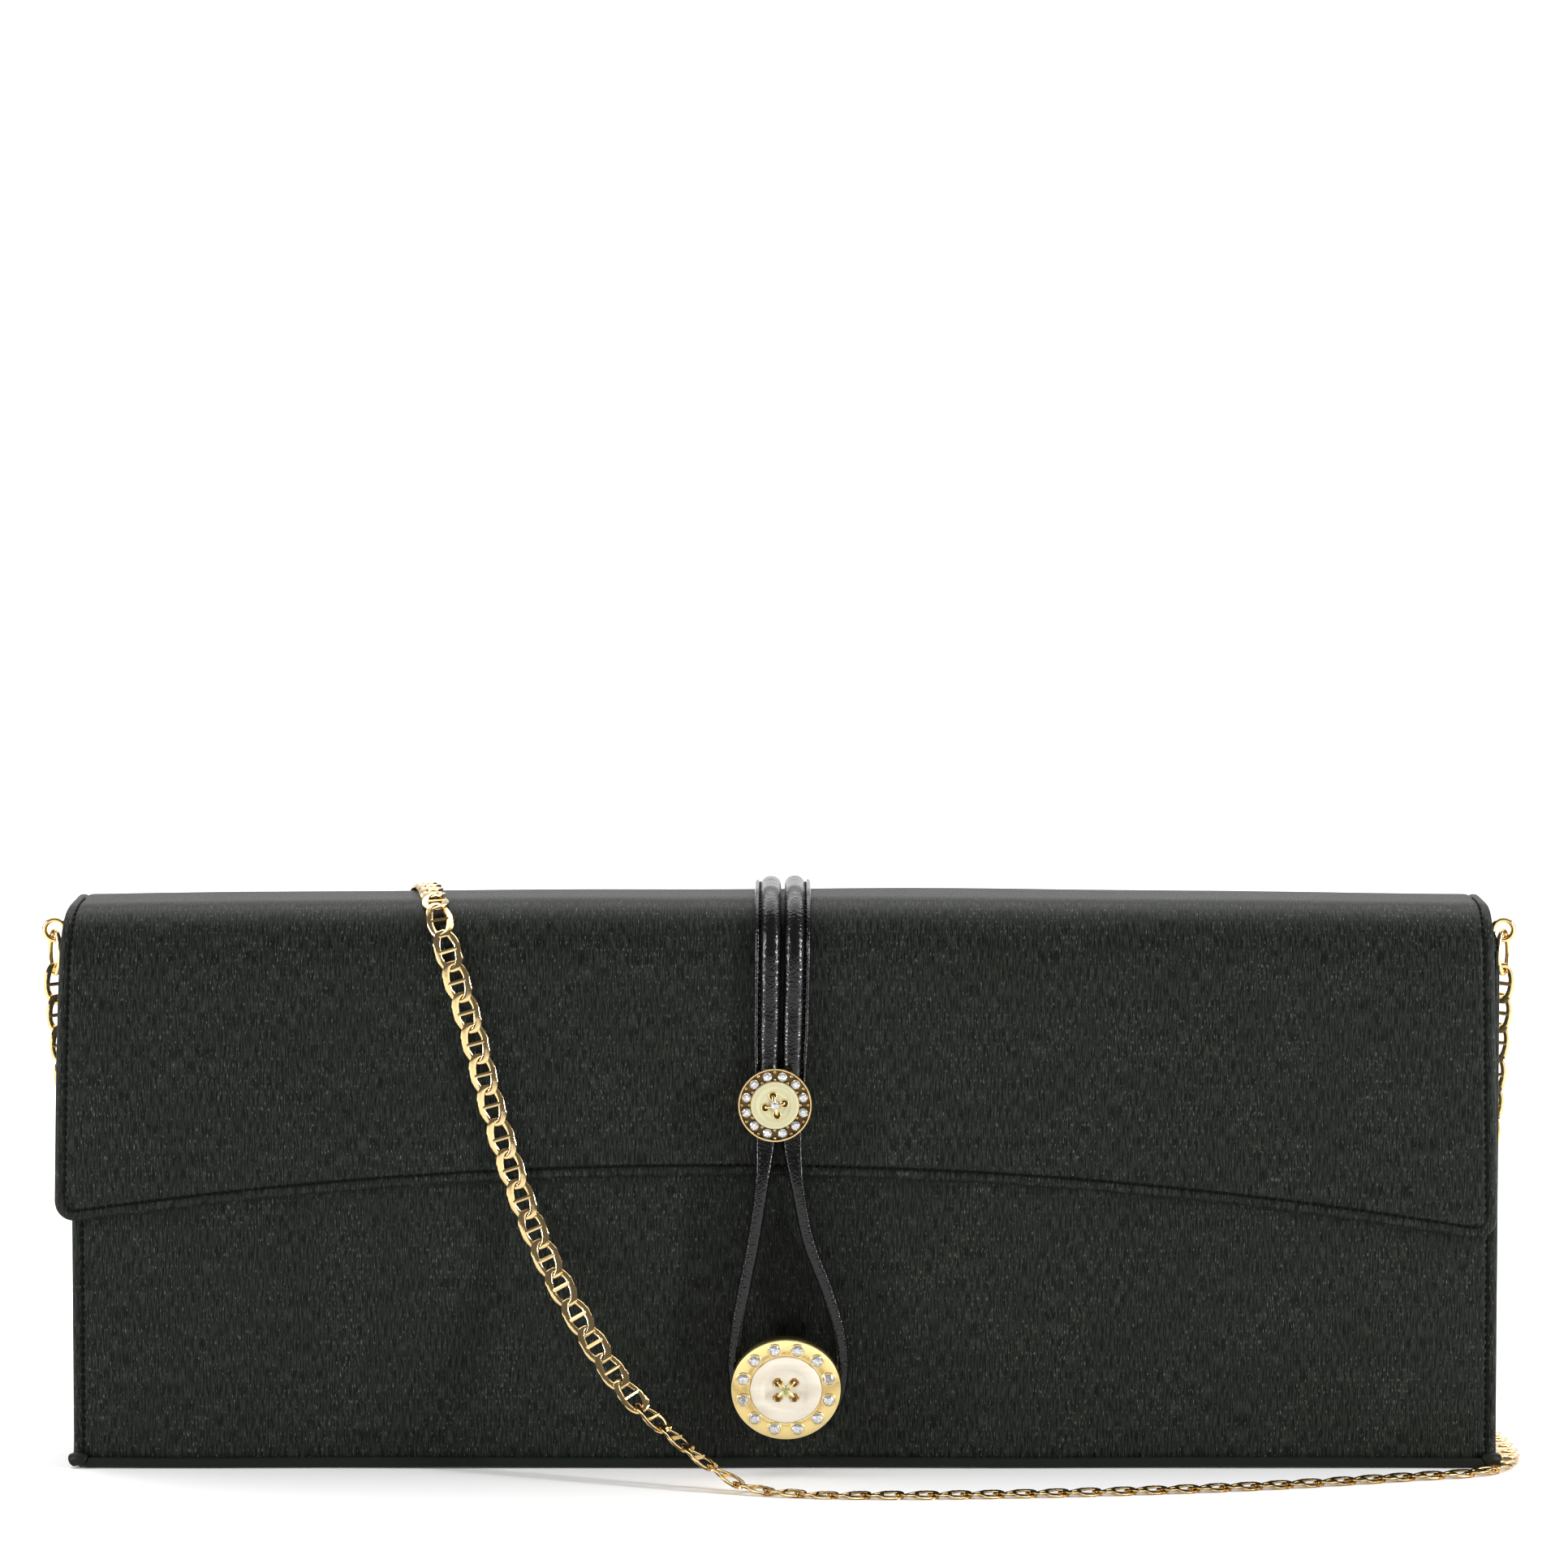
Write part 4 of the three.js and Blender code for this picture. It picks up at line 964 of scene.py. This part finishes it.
# %% Slip pocket
pocket_low, pocket_high = box_mm("slip_pocket")
pocket_path = section([[pocket_low[1], pocket_high[2]]], [[pocket_low[1], pocket_low[2]]])
span = pocket_high[2] - pocket_low[2]
S, X = np.meshgrid(spaced(0, span, 22), spaced(pocket_low[0], pocket_high[0], 30), indexing="ij")
edge = rimmed(box_edge(within(X, pocket_low[0], pocket_high[0]), within(S, 0, span), 2.0))
gape = 1.2 * np.exp(-((S / 9.0) ** 2)) * (1 - (X / pocket_high[0]) ** 2)
pocket = shell("lining_slip_pocket", pocket_path, S, X, edge, lining, thick=0.9, wall=0.7,
               seam=0.15, bulge=gape)
settle(pocket, "case", "lining", "slip_pocket")

# %% [markdown]
# ## Bottom welt
# A thin covered cord runs along the front of the base and ends in a small folded knob at each end.
# The seam allowance of the base rolls up along each short end.

# %% Welt
welt_low, welt_high = box_mm("front_welt")
wx = np.linspace(welt_low[0], welt_high[0], 160)
welt_mid = (welt_low + welt_high) / 2
welt_path = columns(wx, welt_mid[1] + 0.12 * np.sin(wx * 0.11),
                    welt_mid[2] + 0.1 * np.sin(wx * 0.07 + 1))
welt = wire("satin_welt", welt_path, 1.0, satin, facing=(0, 0, 1), sides=14, taper=0.6)
settle(welt, "case", "satin", "front_welt")
for side, name in SIDES:
    a = np.linspace(0, 1, 12)
    knob_path = columns(side * (150.2 + 3.2 * a), welt_mid[1] + 0.2 + 1.2 * a**2,
                        welt_mid[2] + 0.6 * np.sin(3 * a))
    knob = wire(f"satin_knob_{name}", knob_path, 1.45, satin, facing=(0, 0, 1), taper=0.5)
    settle(knob, "case", "satin")

for side, name in SIDES:
    end_y = np.linspace(-16.6, 17.2, 40)
    end_path = columns(side * (CASE_END - 1.35), end_y, 2.35 + 0.05 * np.sin(end_y))
    roll = wire(f"satin_end_roll_{name}", end_path, 1.62, satin, facing=(0, 0, 1), sides=16,
                taper=0.7)
    settle(roll, "case", "satin")

# %% [markdown]
# ## Stitches
# Each stitch is a short thread that dips in at both ends. One small capsule is copied along the
# sewn lines, all in one array operation.

# %% A row of stitches
CLOTH_STITCH = (1.75, 1.15, 0.24)  # pitch, length and thread radius
STRAP_STITCH = (1.3, 0.95, 0.15)
LOOP_STITCH = (1.15, 0.95, 0.24)


def stitches(name, curve, facing, pitch, length, radius, finish):
    """A six-sided capsule at even distances along a curve, its long axis on the tangent."""
    total = walked(curve)[-1]
    rows = np.hstack([curve, np.broadcast_to(facing, curve.shape)])
    at = np.arange(pitch / 2, total, pitch)
    here, back, ahead = (spread(rows, np.clip(at + d, 0, total)) for d in (0, -0.3, 0.3))
    t = unit(ahead[:, :3] - back[:, :3])
    n = unit(here[:, 3:] - t * np.einsum("ij,ij->i", here[:, 3:], t)[:, None])
    u = np.array([-0.5, -0.36, 0.36, 0.5]) * length
    r = np.array([0.3, 1.0, 1.0, 0.3]) * radius
    drop = np.array([-0.9, 0.0, 0.0, -0.9]) * radius
    a = around(6)
    points = columns(u[:, None], r[:, None] * np.cos(a), r[:, None] * np.sin(a) + drop[:, None])
    points = points.reshape(-1, 3)
    faces, ends = lattice(4, 6)
    placed, blocks = copies(points, faces, ends, here[:, :3], (t, np.cross(n, t), n))
    return make(name, placed, blocks, finish)


def flap_surface(x, s, lift=0.0):
    """Points and normals on the outer face of the flap cloth."""
    place, normal = on_section(flap_path, s)
    yz = place + normal * (flap_bulge(x, s) + lift)[..., None]
    return columns(x, yz[..., 0], yz[..., 1]), columns(0, normal[..., 0], normal[..., 1])


# %% Sewn line round the flap
def flap_seam():
    """Down the left side from the roll, along the arch SEAM inside the edge, and up the right."""
    s_left, s_right = (np.linspace(TO_ROLL - 14, TO_FRONT + ROLL_END_Z - arch(end) - 6.5, 90)
                       for end in (FLAP_LEFT, FLAP_RIGHT))
    fl = np.clip((s_left - TO_ROLL) / (end_s.mean() - TO_ROLL), 0, 1)
    x_left = left_edge(fl) + SEAM
    x_right = right_edge(fl) - SEAM
    x_low = np.linspace(FLAP_LEFT + SEAM + 2.6, FLAP_RIGHT - SEAM - 2.6, 240)
    s_low = TO_FRONT + ROLL_END_Z - (arch(x_low) + SEAM)
    x = np.concatenate([x_left, x_low, x_right[::-1]])
    s = np.concatenate([s_left, s_low, s_right[::-1]])
    return flap_surface(x, s, -0.2)


curve, normals = flap_seam()
flap_stitches = stitches("thread_flap_edge", curve, normals, *CLOTH_STITCH, thread)
settle(flap_stitches, "flap", "satin")

# %% Sewn lines down the case
for side, name in SIDES:
    z = np.linspace(104, 3.5, 90)
    x = np.full_like(z, side * (CASE_END - SEAM))
    line = columns(x, FRONT - front_bulge(x, front_high[2] - z) + 0.12, z)
    sewn = stitches(f"thread_case_{name}", line, FORWARD, *CLOTH_STITCH, thread)
    settle(sewn, "case", "satin")
    s_back = np.linspace(4, UP_BACK - 6, 90)
    curve, normals = flap_surface(x, s_back, -0.2)
    sewn = stitches(f"thread_back_{name}", curve, normals, *CLOTH_STITCH, thread)
    settle(sewn, "case", "satin")

# %% [markdown]
# ## Leather straps
# Two narrow straps, each folded over a cord and sewn along its outer side: a plump ridge inside and
# a flat flange outside. They start under a tab on the back, run over the top with the cloth, and
# pinch together under the small button.

# %% The strap's section
def strap_section():
    """Across the strap from the inner side: a round ridge, a sewn groove, then a thin flange."""
    inner = np.radians(np.linspace(180, 22, 17))
    ridge = columns(-0.62 + 2.23 * np.cos(inner), 0.45 + 2.2 * np.sin(inner) ** 0.85)
    groove = np.array([[1.52, 1.36], [1.66, 1.2], [1.82, 1.4]])
    flange = np.array([[2.05, 1.86], [2.35, 1.88], [2.62, 1.66], [2.8, 1.25], [2.86, 0.7],
                       [2.75, 0.2], [2.4, 0.0]])
    under = np.array([[1.0, -0.02], [-1.0, -0.02], [-2.4, 0.0], [-2.75, 0.2], [-2.85, 0.5]])
    return np.vstack([ridge, groove, flange, under])


def strap_middle(side, z):
    """X of a strap's middle line: straight over the top, drawn in a little towards the button."""
    top, low = (-3.62, -4.15) if side < 0 else (2.78, 1.75)
    pull = np.clip((118 - z) / 42, 0, 1)
    return top + (low - top) * pull**1.5


s_strap = np.linspace(UP_BACK - 12, TO_FRONT + ROLL_END_Z - 76.5, 110)
strap_place, strap_normal = on_section(flap_path, s_strap)
strap_z = np.where(s_strap > TO_TOP, strap_place[:, 1], FLAP_TOP)
profile = strap_section()
for side, name in SIDES:
    middle = strap_middle(side, strap_z)
    swell = 1 + 0.025 * np.sin(s_strap * 0.31 + side) + 0.02 * np.sin(s_strap * 0.83)
    tuck = 1 - 0.16 * np.clip((94 - strap_z) / 14, 0, 1)
    w = profile[None, :, 0] * side * tuck[:, None] + middle[:, None]
    lift = profile[None, :, 1] * (swell * tuck)[:, None]
    base = flap_bulge(0 * s_strap, s_strap) + 0.16
    yz = strap_place[:, None] + strap_normal[:, None] * (base[:, None] + lift)[..., None]
    grid_points = np.concatenate([w[..., None], yz], -1)
    faces, ends = lattice(len(s_strap), len(profile))
    strap = make(f"leather_strap_{name}", grid_points, faces, leather, ends)
    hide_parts(f"strap_{name}")
    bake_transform(strap)
    keep = slice(14, 103)  # the stitched rows: clear of the tab and of the small button
    row_x = middle[keep] + side * 1.66 * tuck[keep]
    row_yz = strap_place[keep] + strap_normal[keep] * (base[keep] + 1.3 * tuck[keep])[:, None]
    row = columns(row_x, row_yz[:, 0], row_yz[:, 1])
    row_n = columns(0, strap_normal[keep, 0], strap_normal[keep, 1])
    sewn = stitches(f"thread_strap_{name}", row, row_n, *STRAP_STITCH, thread)
    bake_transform(sewn)

# %% [markdown]
# ## Strap tab on the back
# The straps' ends are covered by a rounded leather tab, sewn down all round.

# %% Tab
tab_low, tab_high = box_mm("strap_anchor")
tab_path = section([[BACK + 0.25, tab_low[2]]], [[BACK + 0.25, tab_high[2]]])
tab_span = tab_high[2] - tab_low[2]
x_tab = spaced(tab_low[0], tab_high[0], 10)
TAB_ROUND = 4.0
rise_tab = quarter_round(within(x_tab, tab_low[0], tab_high[0]), TAB_ROUND)
S = spaced(rise_tab, tab_span - rise_tab, 14)
X = np.broadcast_to(x_tab, S.shape)
edge = rimmed(box_edge(within(X, tab_low[0], tab_high[0]), within(S, 0, tab_span), TAB_ROUND))
ends_under = np.exp(-(((np.abs(X - (tab_low[0] + tab_high[0]) / 2) - 3.2) / 3.0) ** 2))
swollen = 2.1 + 1.5 * ends_under * np.clip((S - 8) / 7, 0, 1) * np.clip(edge / 2.0, 0, 1)
tab = shell("leather_tab", tab_path, S, X, edge, leather, thick=1.9, wall=1.9, seam=0.3,
            bulge=swollen)
settle(tab, "case", "leather", "strap_anchor")

# %% [markdown]
# ## The loop
# Below the small button the two straps turn on edge, swing apart and meet again round the large
# button's drum. It is one strap on a closed curve: a rounded bar whose width changes to depth as it
# leaves the button.

# %% Loop
LOOP_POINTS = np.array([
    [-4.1, 79, 0.0], [-4.1, 75, 0.0], [-4.2, 70, 0.2], [-4.95, 62, 0.85], [-6.7, 49.8, 1],
    [-8.8, 39, 1], [-10.4, 29.5, 1], [-10.8, 21, 1], [-9.3, 14.7, 1], [-5.1, 10.5, 1],
    [0.7, 9.0, 1],
    [6.5, 10.5, 1], [10.7, 14.7, 1], [12.2, 21, 1], [11.7, 29.5, 1], [9.1, 39, 1], [5.1, 49.8, 1],
    [2.75, 62, 0.85], [1.75, 70, 0.2], [1.6, 75, 0.0], [1.6, 79, 0.0],
])
flat = np.insert(LOOP_POINTS, 1, 0.0, axis=1)
curve = smooth_curve(flat, 12)
loop_xyz = curve[:, :3].copy()
on_edge = np.clip(curve[:, 3], 0, 1)
lean = np.clip((70 - loop_xyz[:, 2]) / 62, 0, 1)
loop_xyz[:, 1] = -22.25 - 0.95 * on_edge + 2.6 * lean * on_edge
loop_t = unit(np.gradient(loop_xyz * [1, 0, 1], axis=0))
loop_side = np.cross(loop_t, FORWARD)
half_wide = 2.4 + (1.45 - 2.4) * on_edge
half_deep = 1.2 + (2.2 - 1.2) * on_edge
LOOP_SIDES = 28
a = around(LOOP_SIDES)
SQUARENESS = 0.55  # 1 is an ellipse, 0 a rectangle
su, sv = (np.sign(w) * np.abs(w) ** SQUARENESS for w in (np.cos(a), np.sin(a)))
pinch = 1 - 0.16 * np.exp(-(((sv - 0.62) / 0.16) ** 2)) * (np.abs(su) > 0.3)
section_u = half_wide[:, None] * (su * pinch)[None]
section_v = half_deep[:, None] * sv[None]
loop_points = (loop_xyz[:, None] + section_u[..., None] * loop_side[:, None]
               + section_v[..., None] * FORWARD)
faces, ends = lattice(len(loop_xyz), LOOP_SIDES)
loop = make("leather_loop", loop_points, faces, leather, ends)
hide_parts("loop_strap")
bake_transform(loop)
for side, name in SIDES:
    half = loop_xyz[:, 0] > 0.5 if side > 0 else loop_xyz[:, 0] < 0.5
    picked = np.where(half & (loop_xyz[:, 2] < 70) & (loop_xyz[:, 2] > 22))[0]
    flip = side * np.sign(loop_side[picked[len(picked) // 2], 0])
    row = loop_xyz[picked] + FORWARD * 2.05 + loop_side[picked] * 0.95 * flip
    sewn = stitches(f"thread_loop_{name}", row, FORWARD, *LOOP_STITCH, leather)
    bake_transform(sewn)

# %% [markdown]
# ## Buttons
# Both buttons are turned shapes worked out about their own axis, then set in place: a gilt head
# with a ring of stones, and a disc with four holes, sewn on with crossed gilt wires that hold a
# stone in the middle. A lathe profile gives the turned parts, and the four holes are cut with a
# Boolean that is applied at once.

# %% Button axes
class Seat:
    """Where a button sits: its middle, and its right, up and outward directions."""

    def __init__(self, middle, tilt):
        self.middle = np.asarray(middle, float)
        self.right = np.array([1.0, 0, 0])
        self.out = np.array([0, -math.cos(tilt), -math.sin(tilt)])
        self.up = np.cross(self.out, self.right)

    def world(self, local):
        """Local x, y, z to right, up and out."""
        return self.middle + np.asarray(local, float) @ [self.right, self.up, self.out]


SMALL_SEAT = Seat((-2.1, box_mm("small_button_cup")[0][1], 79.4), 0.0)
LARGE_SEAT = Seat((0.25, -28.6, 18.6), math.radians(15))
print("up directions:", SMALL_SEAT.up.round(3), LARGE_SEAT.up.round(3))


# %% Turned pieces
def turned(name, seat, profile, finish, segments=96, body="case", slot="gold", nodes=(), sharp=40):
    """A profile of [radius, height] rows spun round the seat's axis; rows of radius 0 cap it."""
    profile = np.asarray(profile, float)
    a = around(segments)
    pole_start, pole_end = profile[0, 0] == 0, profile[-1, 0] == 0
    rows = profile[1 if pole_start else 0: -1 if pole_end else None]
    ring = columns(rows[:, :1] * np.cos(a), rows[:, :1] * np.sin(a), rows[:, 1:])
    faces, caps = lattice(len(rows), segments, not (pole_start or pole_end), pole_start)
    piece = make(name, seat.world(ring.reshape(-1, 3)), faces, finish, caps, sharp=sharp)
    return settle(piece, body, slot, *nodes)


def hole_spots(circle, turn):
    """Four places round a circle."""
    a = np.radians(turn + 90.0 * np.arange(4))
    return columns(circle * np.cos(a), circle * np.sin(a))


PIN_SIDES = 28


def drill(piece, seat, spots, radius, low, high):
    """Cuts round holes through a piece, and keeps its place, body and slot."""
    a = around(PIN_SIDES)
    ring = columns(radius * np.cos(a), radius * np.sin(a), 0)
    faces, caps = lattice(2, PIN_SIDES)
    for k, (x, y) in enumerate(spots):
        both = seat.world([ring + [x, y, low], ring + [x, y, high]])
        pin = make(f"drill_{k}", both, faces, piece.data.materials[0], caps)
        cut = piece.modifiers.new("hole", "BOOLEAN")
        cut.operation, cut.solver, cut.object = "DIFFERENCE", "EXACT", pin
        bpy.context.view_layer.update()
        drilled = piece.evaluated_get(bpy.context.evaluated_depsgraph_get())
        result = bpy.data.meshes.new_from_object(drilled)
        piece.modifiers.clear()
        piece.data = result
        bpy.data.objects.remove(pin)
    piece.data.polygons.foreach_set("use_smooth", np.full(len(piece.data.polygons), True))
    piece.data.set_sharp_from_angle(angle=math.radians(35))


# %% Stones
def stone_shape(radius):
    """A round brilliant: an eight-sided table, a zigzag crown, a girdle and a pointed pavilion."""
    k = np.arange(8)
    a, b = k * np.pi / 4, (k + 0.5) * np.pi / 4
    rings = [columns(r * np.cos(angle), r * np.sin(angle), z)
             for r, angle, z in ((0.55, a, 0.36), (0.80, b, 0.22), (1.0, a, 0), (1.0, b, 0))]
    points = np.vstack(rings + [[[0, 0, -0.75]]]) * radius
    star, girdle, mid, tip = 8 + k, 16 + k, 24 + k, 32
    n, next_girdle = (k + 1) % 8, 16 + (k + 1) % 8
    tris = [(k, star, n), (k, 8 + (k - 1) % 8, girdle), (k, girdle, star),
            (star, mid, next_girdle), (star, girdle, mid), (girdle, tip, mid),
            (mid, tip, next_girdle)]
    return points, [columns(*corners) for corners in tris], [list(range(8))]


def stones(name, seat, radius, spots, z, finish, body, nodes, spin=0.0):
    """Brilliants set flat at several spots, each turned by its own amount about its axis."""
    points, tris, ends = stone_shape(radius)
    count = len(spots)
    turn = spin + 0.7 * np.arange(count)
    c, s = np.cos(turn)[:, None], np.sin(turn)[:, None]
    origins = seat.world(np.column_stack([spots, np.full(count, z)]))
    axes = (c * seat.right + s * seat.up, -s * seat.right + c * seat.up,
            np.tile(seat.out, (count, 1)))
    placed, blocks = copies(points, tris, ends, origins, axes)
    piece = make(name, placed, blocks, finish, smooth=False)
    slot = "pale_green_crystal" if finish is peridot else "crystal"
    return settle(piece, body, slot, *nodes)


def ring_spots(circle, count=12, offset=0.5):
    """Evenly round a circle, starting beside the top."""
    a = (np.arange(count) + offset) / count * 2 * np.pi
    return columns(circle * np.sin(a), circle * np.cos(a))


# %% Crossed wires and prongs
def cross(name, seat, spots, radius, top, bottom, body, node, finish):
    """Two bowed wires, each going down one hole, across and down the opposite one."""
    blocks, all_points, count = [], [], 0
    for first, second in ((0, 2), (1, 3)):
        p, q = spots[first], spots[second]
        t = np.linspace(-np.pi / 2, np.pi / 2, 23)
        line = unit((p - q)[None])[0]
        height = bottom + (top - radius - bottom) * np.clip(np.cos(t), 0, None) ** 0.5
        d = np.sin(t) * np.hypot(*p)
        path = seat.world(columns(d * line[0], d * line[1], height))
        sideways = seat.up * line[0] - seat.right * line[1]
        wide = np.cross(unit(np.gradient(path, axis=0)), sideways)
        a = around(10)[:, None]
        ring = (path[:, None] + radius * np.cos(a) * sideways
                + 0.75 * radius * np.sin(a) * wide[:, None])
        faces, caps = lattice(len(path), 10, start=count)
        blocks += faces + [np.asarray([cap]) for cap in caps]
        all_points.append(ring.reshape(-1, 3))
        count += len(path) * 10
    piece = make(name, np.vstack(all_points), blocks, finish)
    return settle(piece, body, "gold", node)


def bezels(name, seat, spots, radius, wire_radius, z, finish, body):
    """A thin ring round every stone."""
    a = around(20)
    b = around(6)
    r = radius + wire_radius * np.cos(b)
    points = columns(np.outer(np.cos(a), r), np.outer(np.sin(a), r), wire_radius * np.sin(b))
    points = points.reshape(-1, 3)
    faces, _ = lattice(20, 6, wrap_rings=True)
    origins = seat.world(np.column_stack([spots, np.full(len(spots), z)]))
    axes = [np.tile(axis, (len(spots), 1)) for axis in (seat.right, seat.up, seat.out)]
    placed, blocks = copies(points, faces, [], origins, axes)
    return settle(make(name, placed, blocks, finish), body, "gold")


# %% Large button
BIG, TINY = "large_button", "small_button"
STONES = range(1, 13)
head_profile = [[0, -2.8], [2.2, -2.8], [2.2, -5.8], [6.7, -5.8], [7.0, -5.5], [7.0, -2.55],
                [7.3, -2.4], [11.2, -2.4], [11.6, -2.2], [11.75, -1.8], [11.75, -0.45],
                [11.66, -0.16], [11.4, 0.0], [7.95, 0.06], [7.78, -0.02], [7.72, -0.2],
                [7.72, -1.2], [0, -1.2]]
turned("gilt_large_head", LARGE_SEAT, head_profile, yellow_gilt, 128, BIG,
       nodes=("large_button_head",))
pearl_profile = [[0, -1.1], [7.5, -1.1], [7.65, -0.9], [7.65, 0.1], [7.5, 0.38], [7.1, 0.52],
                 [6.2, 0.56], [5.4, 0.50], [5.0, 0.36], [4.7, 0.22], [4.3, 0.15], [0, 0.15]]
large_disc = turned("pearl_large_disc", LARGE_SEAT, pearl_profile, pearl, 128, BIG,
                    "pearl_disc", ("large_button_disc",), 60)
large_holes = hole_spots(2.5, 45)
drill(large_disc, LARGE_SEAT, large_holes, 0.95, -2, 1.5)
cross("gilt_large_cross", LARGE_SEAT, large_holes, 0.42, 0.75, -0.9, BIG,
      "large_button_thread", yellow_gilt)
large_spots = ring_spots(9.45)
stones("crystals_large", LARGE_SEAT, 1.3, large_spots, 0.05, crystal, BIG,
       [f"large_button_stone_{k:02d}" for k in STONES])
bezels("bezels_large", LARGE_SEAT, large_spots, 1.42, 0.2, 0.06, yellow_gilt, BIG)
stones("crystal_large_centre", LARGE_SEAT, 1.0, [[0, 0]], 1.15, peridot, BIG,
       ["large_button_centre_stone"])
bezels("eyelets_large", LARGE_SEAT, large_holes, 0.93, 0.13, 0.16, copper_gilt, BIG)

# %% Small button
small_profile = [[0, -5.6], [1.0, -5.6], [1.0, -2.8], [7.1, -2.8], [7.6, -2.6], [7.86, -2.2],
                 [7.9, -1.7], [7.9, -0.15], [7.8, 0.0], [7.55, 0.0], [7.45, -0.12],
                 [7.42, -1.45], [5.2, -1.5], [5.15, -0.7], [0, -0.7]]
turned("gilt_small_cup", SMALL_SEAT, small_profile, pale_gilt, 112, TINY,
       nodes=("small_button_cup",))
channel_profile = [[5.22, -1.48], [7.40, -1.43], [7.42, -0.5], [7.34, -0.5], [7.32, -1.33],
                   [5.22, -1.38]]
turned("channel_small", SMALL_SEAT, channel_profile, dark_gilt, 96, TINY)
cream = cream_finish(SMALL_SEAT.middle)
cream_profile = [[0, -0.6], [4.9, -0.6], [5.05, -0.45], [5.05, 0.05], [4.9, 0.26], [4.6, 0.36],
                 [4.1, 0.36], [3.8, 0.26], [3.5, 0.14], [3.2, 0.06], [0, 0.05]]
small_disc = turned("cream_small_disc", SMALL_SEAT, cream_profile, cream, 112, TINY,
                    "cream_disc", ("small_button_disc",), 60)
small_holes = hole_spots(2.1, 12)
drill(small_disc, SMALL_SEAT, small_holes, 0.84, -1.5, 1.5)
cross("gilt_small_cross", SMALL_SEAT, small_holes, 0.38, 0.66, -0.5, TINY,
      "small_button_thread", pale_gilt)
stones("crystals_small", SMALL_SEAT, 1.0, ring_spots(6.25), -0.45, crystal, TINY,
       [f"small_button_stone_{k:02d}" for k in STONES])
for name, circle in (("prongs_small", 7.1), ("prongs_small_inner", 5.42)):
    spots = ring_spots(circle, offset=0.0)
    bezels(name, SMALL_SEAT, spots, 0.2, 0.14, -0.75, pale_gilt, TINY)
stones("crystal_small_centre", SMALL_SEAT, 0.85, [[0, 0]], 0.85, crystal, TINY,
       ["small_button_centre_stone"], 0.3)
bezels("eyelets_small", SMALL_SEAT, small_holes, 0.84, 0.13, 0.06, yellow_gilt, TINY)
# Painted shade: a thin dark gilt disc under the cream disc, seen through its four holes in place of
# the cup floor.
shade_profile = [[0, -0.69], [3.2, -0.69], [3.2, -0.62], [0, -0.62]]
turned("shade_small_holes", SMALL_SEAT, shade_profile, dark_gilt, 48, TINY)

# %% [markdown]
# ## Carried-over CAD nodes
# The boards inside and the large button's post have the right shape already, so they only get a
# better finish in their own material slots.

# %% Boards and post
def refinish(node, finish):
    """Puts a finish in every slot of a CAD node."""
    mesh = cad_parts[node].data
    if not mesh.materials:
        mesh.materials.append(finish)
    for slot_number in range(len(mesh.materials)):
        mesh.materials[slot_number] = finish


for node in ("base_board", "front_board", "back_board"):
    refinish(node, board)
refinish("large_button_post", yellow_gilt)

# %% [markdown]
# ## Table, backdrop and light
# A plain pale table under a large soft light. Two tall soft lights at the sides draw the long
# highlights on the leather; dark gaps between the lights give the metal something to reflect.

# %% Stage
def stage_finish():
    f = Finish("pale_table")
    cloud = f.noise(f.place(), 3.0, 1.0)
    colour = f.mix(cloud, (0.93, 0.93, 0.93), (0.95, 0.95, 0.95))
    return f.gloss(Base_Color=colour, Roughness=0.8, Specular_IOR_Level=0.1)


def table_points():
    """A table that curves up far behind into a wall."""
    rise = np.linspace(0.15, np.pi / 2, 8)
    y = np.r_[np.linspace(-3.0, 2.0, 8), 2.0 + 0.8 * np.sin(rise), 2.8]
    z = np.r_[np.zeros(8), 0.8 * (1 - np.cos(rise)), 4.0]
    return columns(np.array([-5.0, 5.0]), y[:, None], z[:, None])


table_grid = table_points()
rows = len(table_grid)
table_faces = np.arange(rows - 1)[:, None] * 2 + [[0, 1, 3, 2]]
table_mesh = bpy.data.meshes.new("table")
table_mesh.from_pydata(table_grid.reshape(-1, 3).tolist(), [], table_faces.tolist())
table_mesh.polygons.foreach_set("use_smooth", np.full(rows - 1, True))
table_mesh.materials.append(stage_finish())
table = bpy.data.objects.new("table", table_mesh)
bpy.context.collection.objects.link(table)

world = bpy.data.worlds.new("studio")
world.use_nodes = True
bpy.context.scene.world = world
background = world.node_tree.nodes["Background"].inputs
background["Color"].default_value, background["Strength"].default_value = (1, 1, 1, 1), 0.16
bpy.context.scene.view_settings.view_transform = "Standard"


# %% Lights
def soft_light(name, place, target, size, power, colour=(1, 1, 1)):
    """A rectangular area light that looks at a target, in metres and watts."""
    data = bpy.data.lights.new(name, "AREA")
    data.shape, (data.size, data.size_y) = "RECTANGLE", size
    data.energy, data.color = power, colour
    light = bpy.data.objects.new(name, data)
    bpy.context.collection.objects.link(light)
    light.location = place
    aim = np.asarray(target, float) - np.asarray(place, float)
    yaw = math.atan2(aim[0], -aim[1])
    pitch = math.atan2(math.hypot(aim[0], aim[1]), -aim[2])
    light.rotation_euler = (pitch, 0, yaw + math.pi)
    return light


soft_light("over_top", (0, 0.26, 1.1), (0, 0.22, 0.0), (2.2, 0.8), 16)
soft_light("back_wash", (0, 1.3, 1.5), (0, 1.6, 0.2), (3.5, 1.0), 44)
soft_light("left_tall", (-1.15, -0.45, 0.30), (0, 0, 0.06), (0.05, 0.8), 16)
soft_light("right_tall", (1.15, -0.50, 0.30), (0, 0, 0.06), (0.06, 0.8), 22)
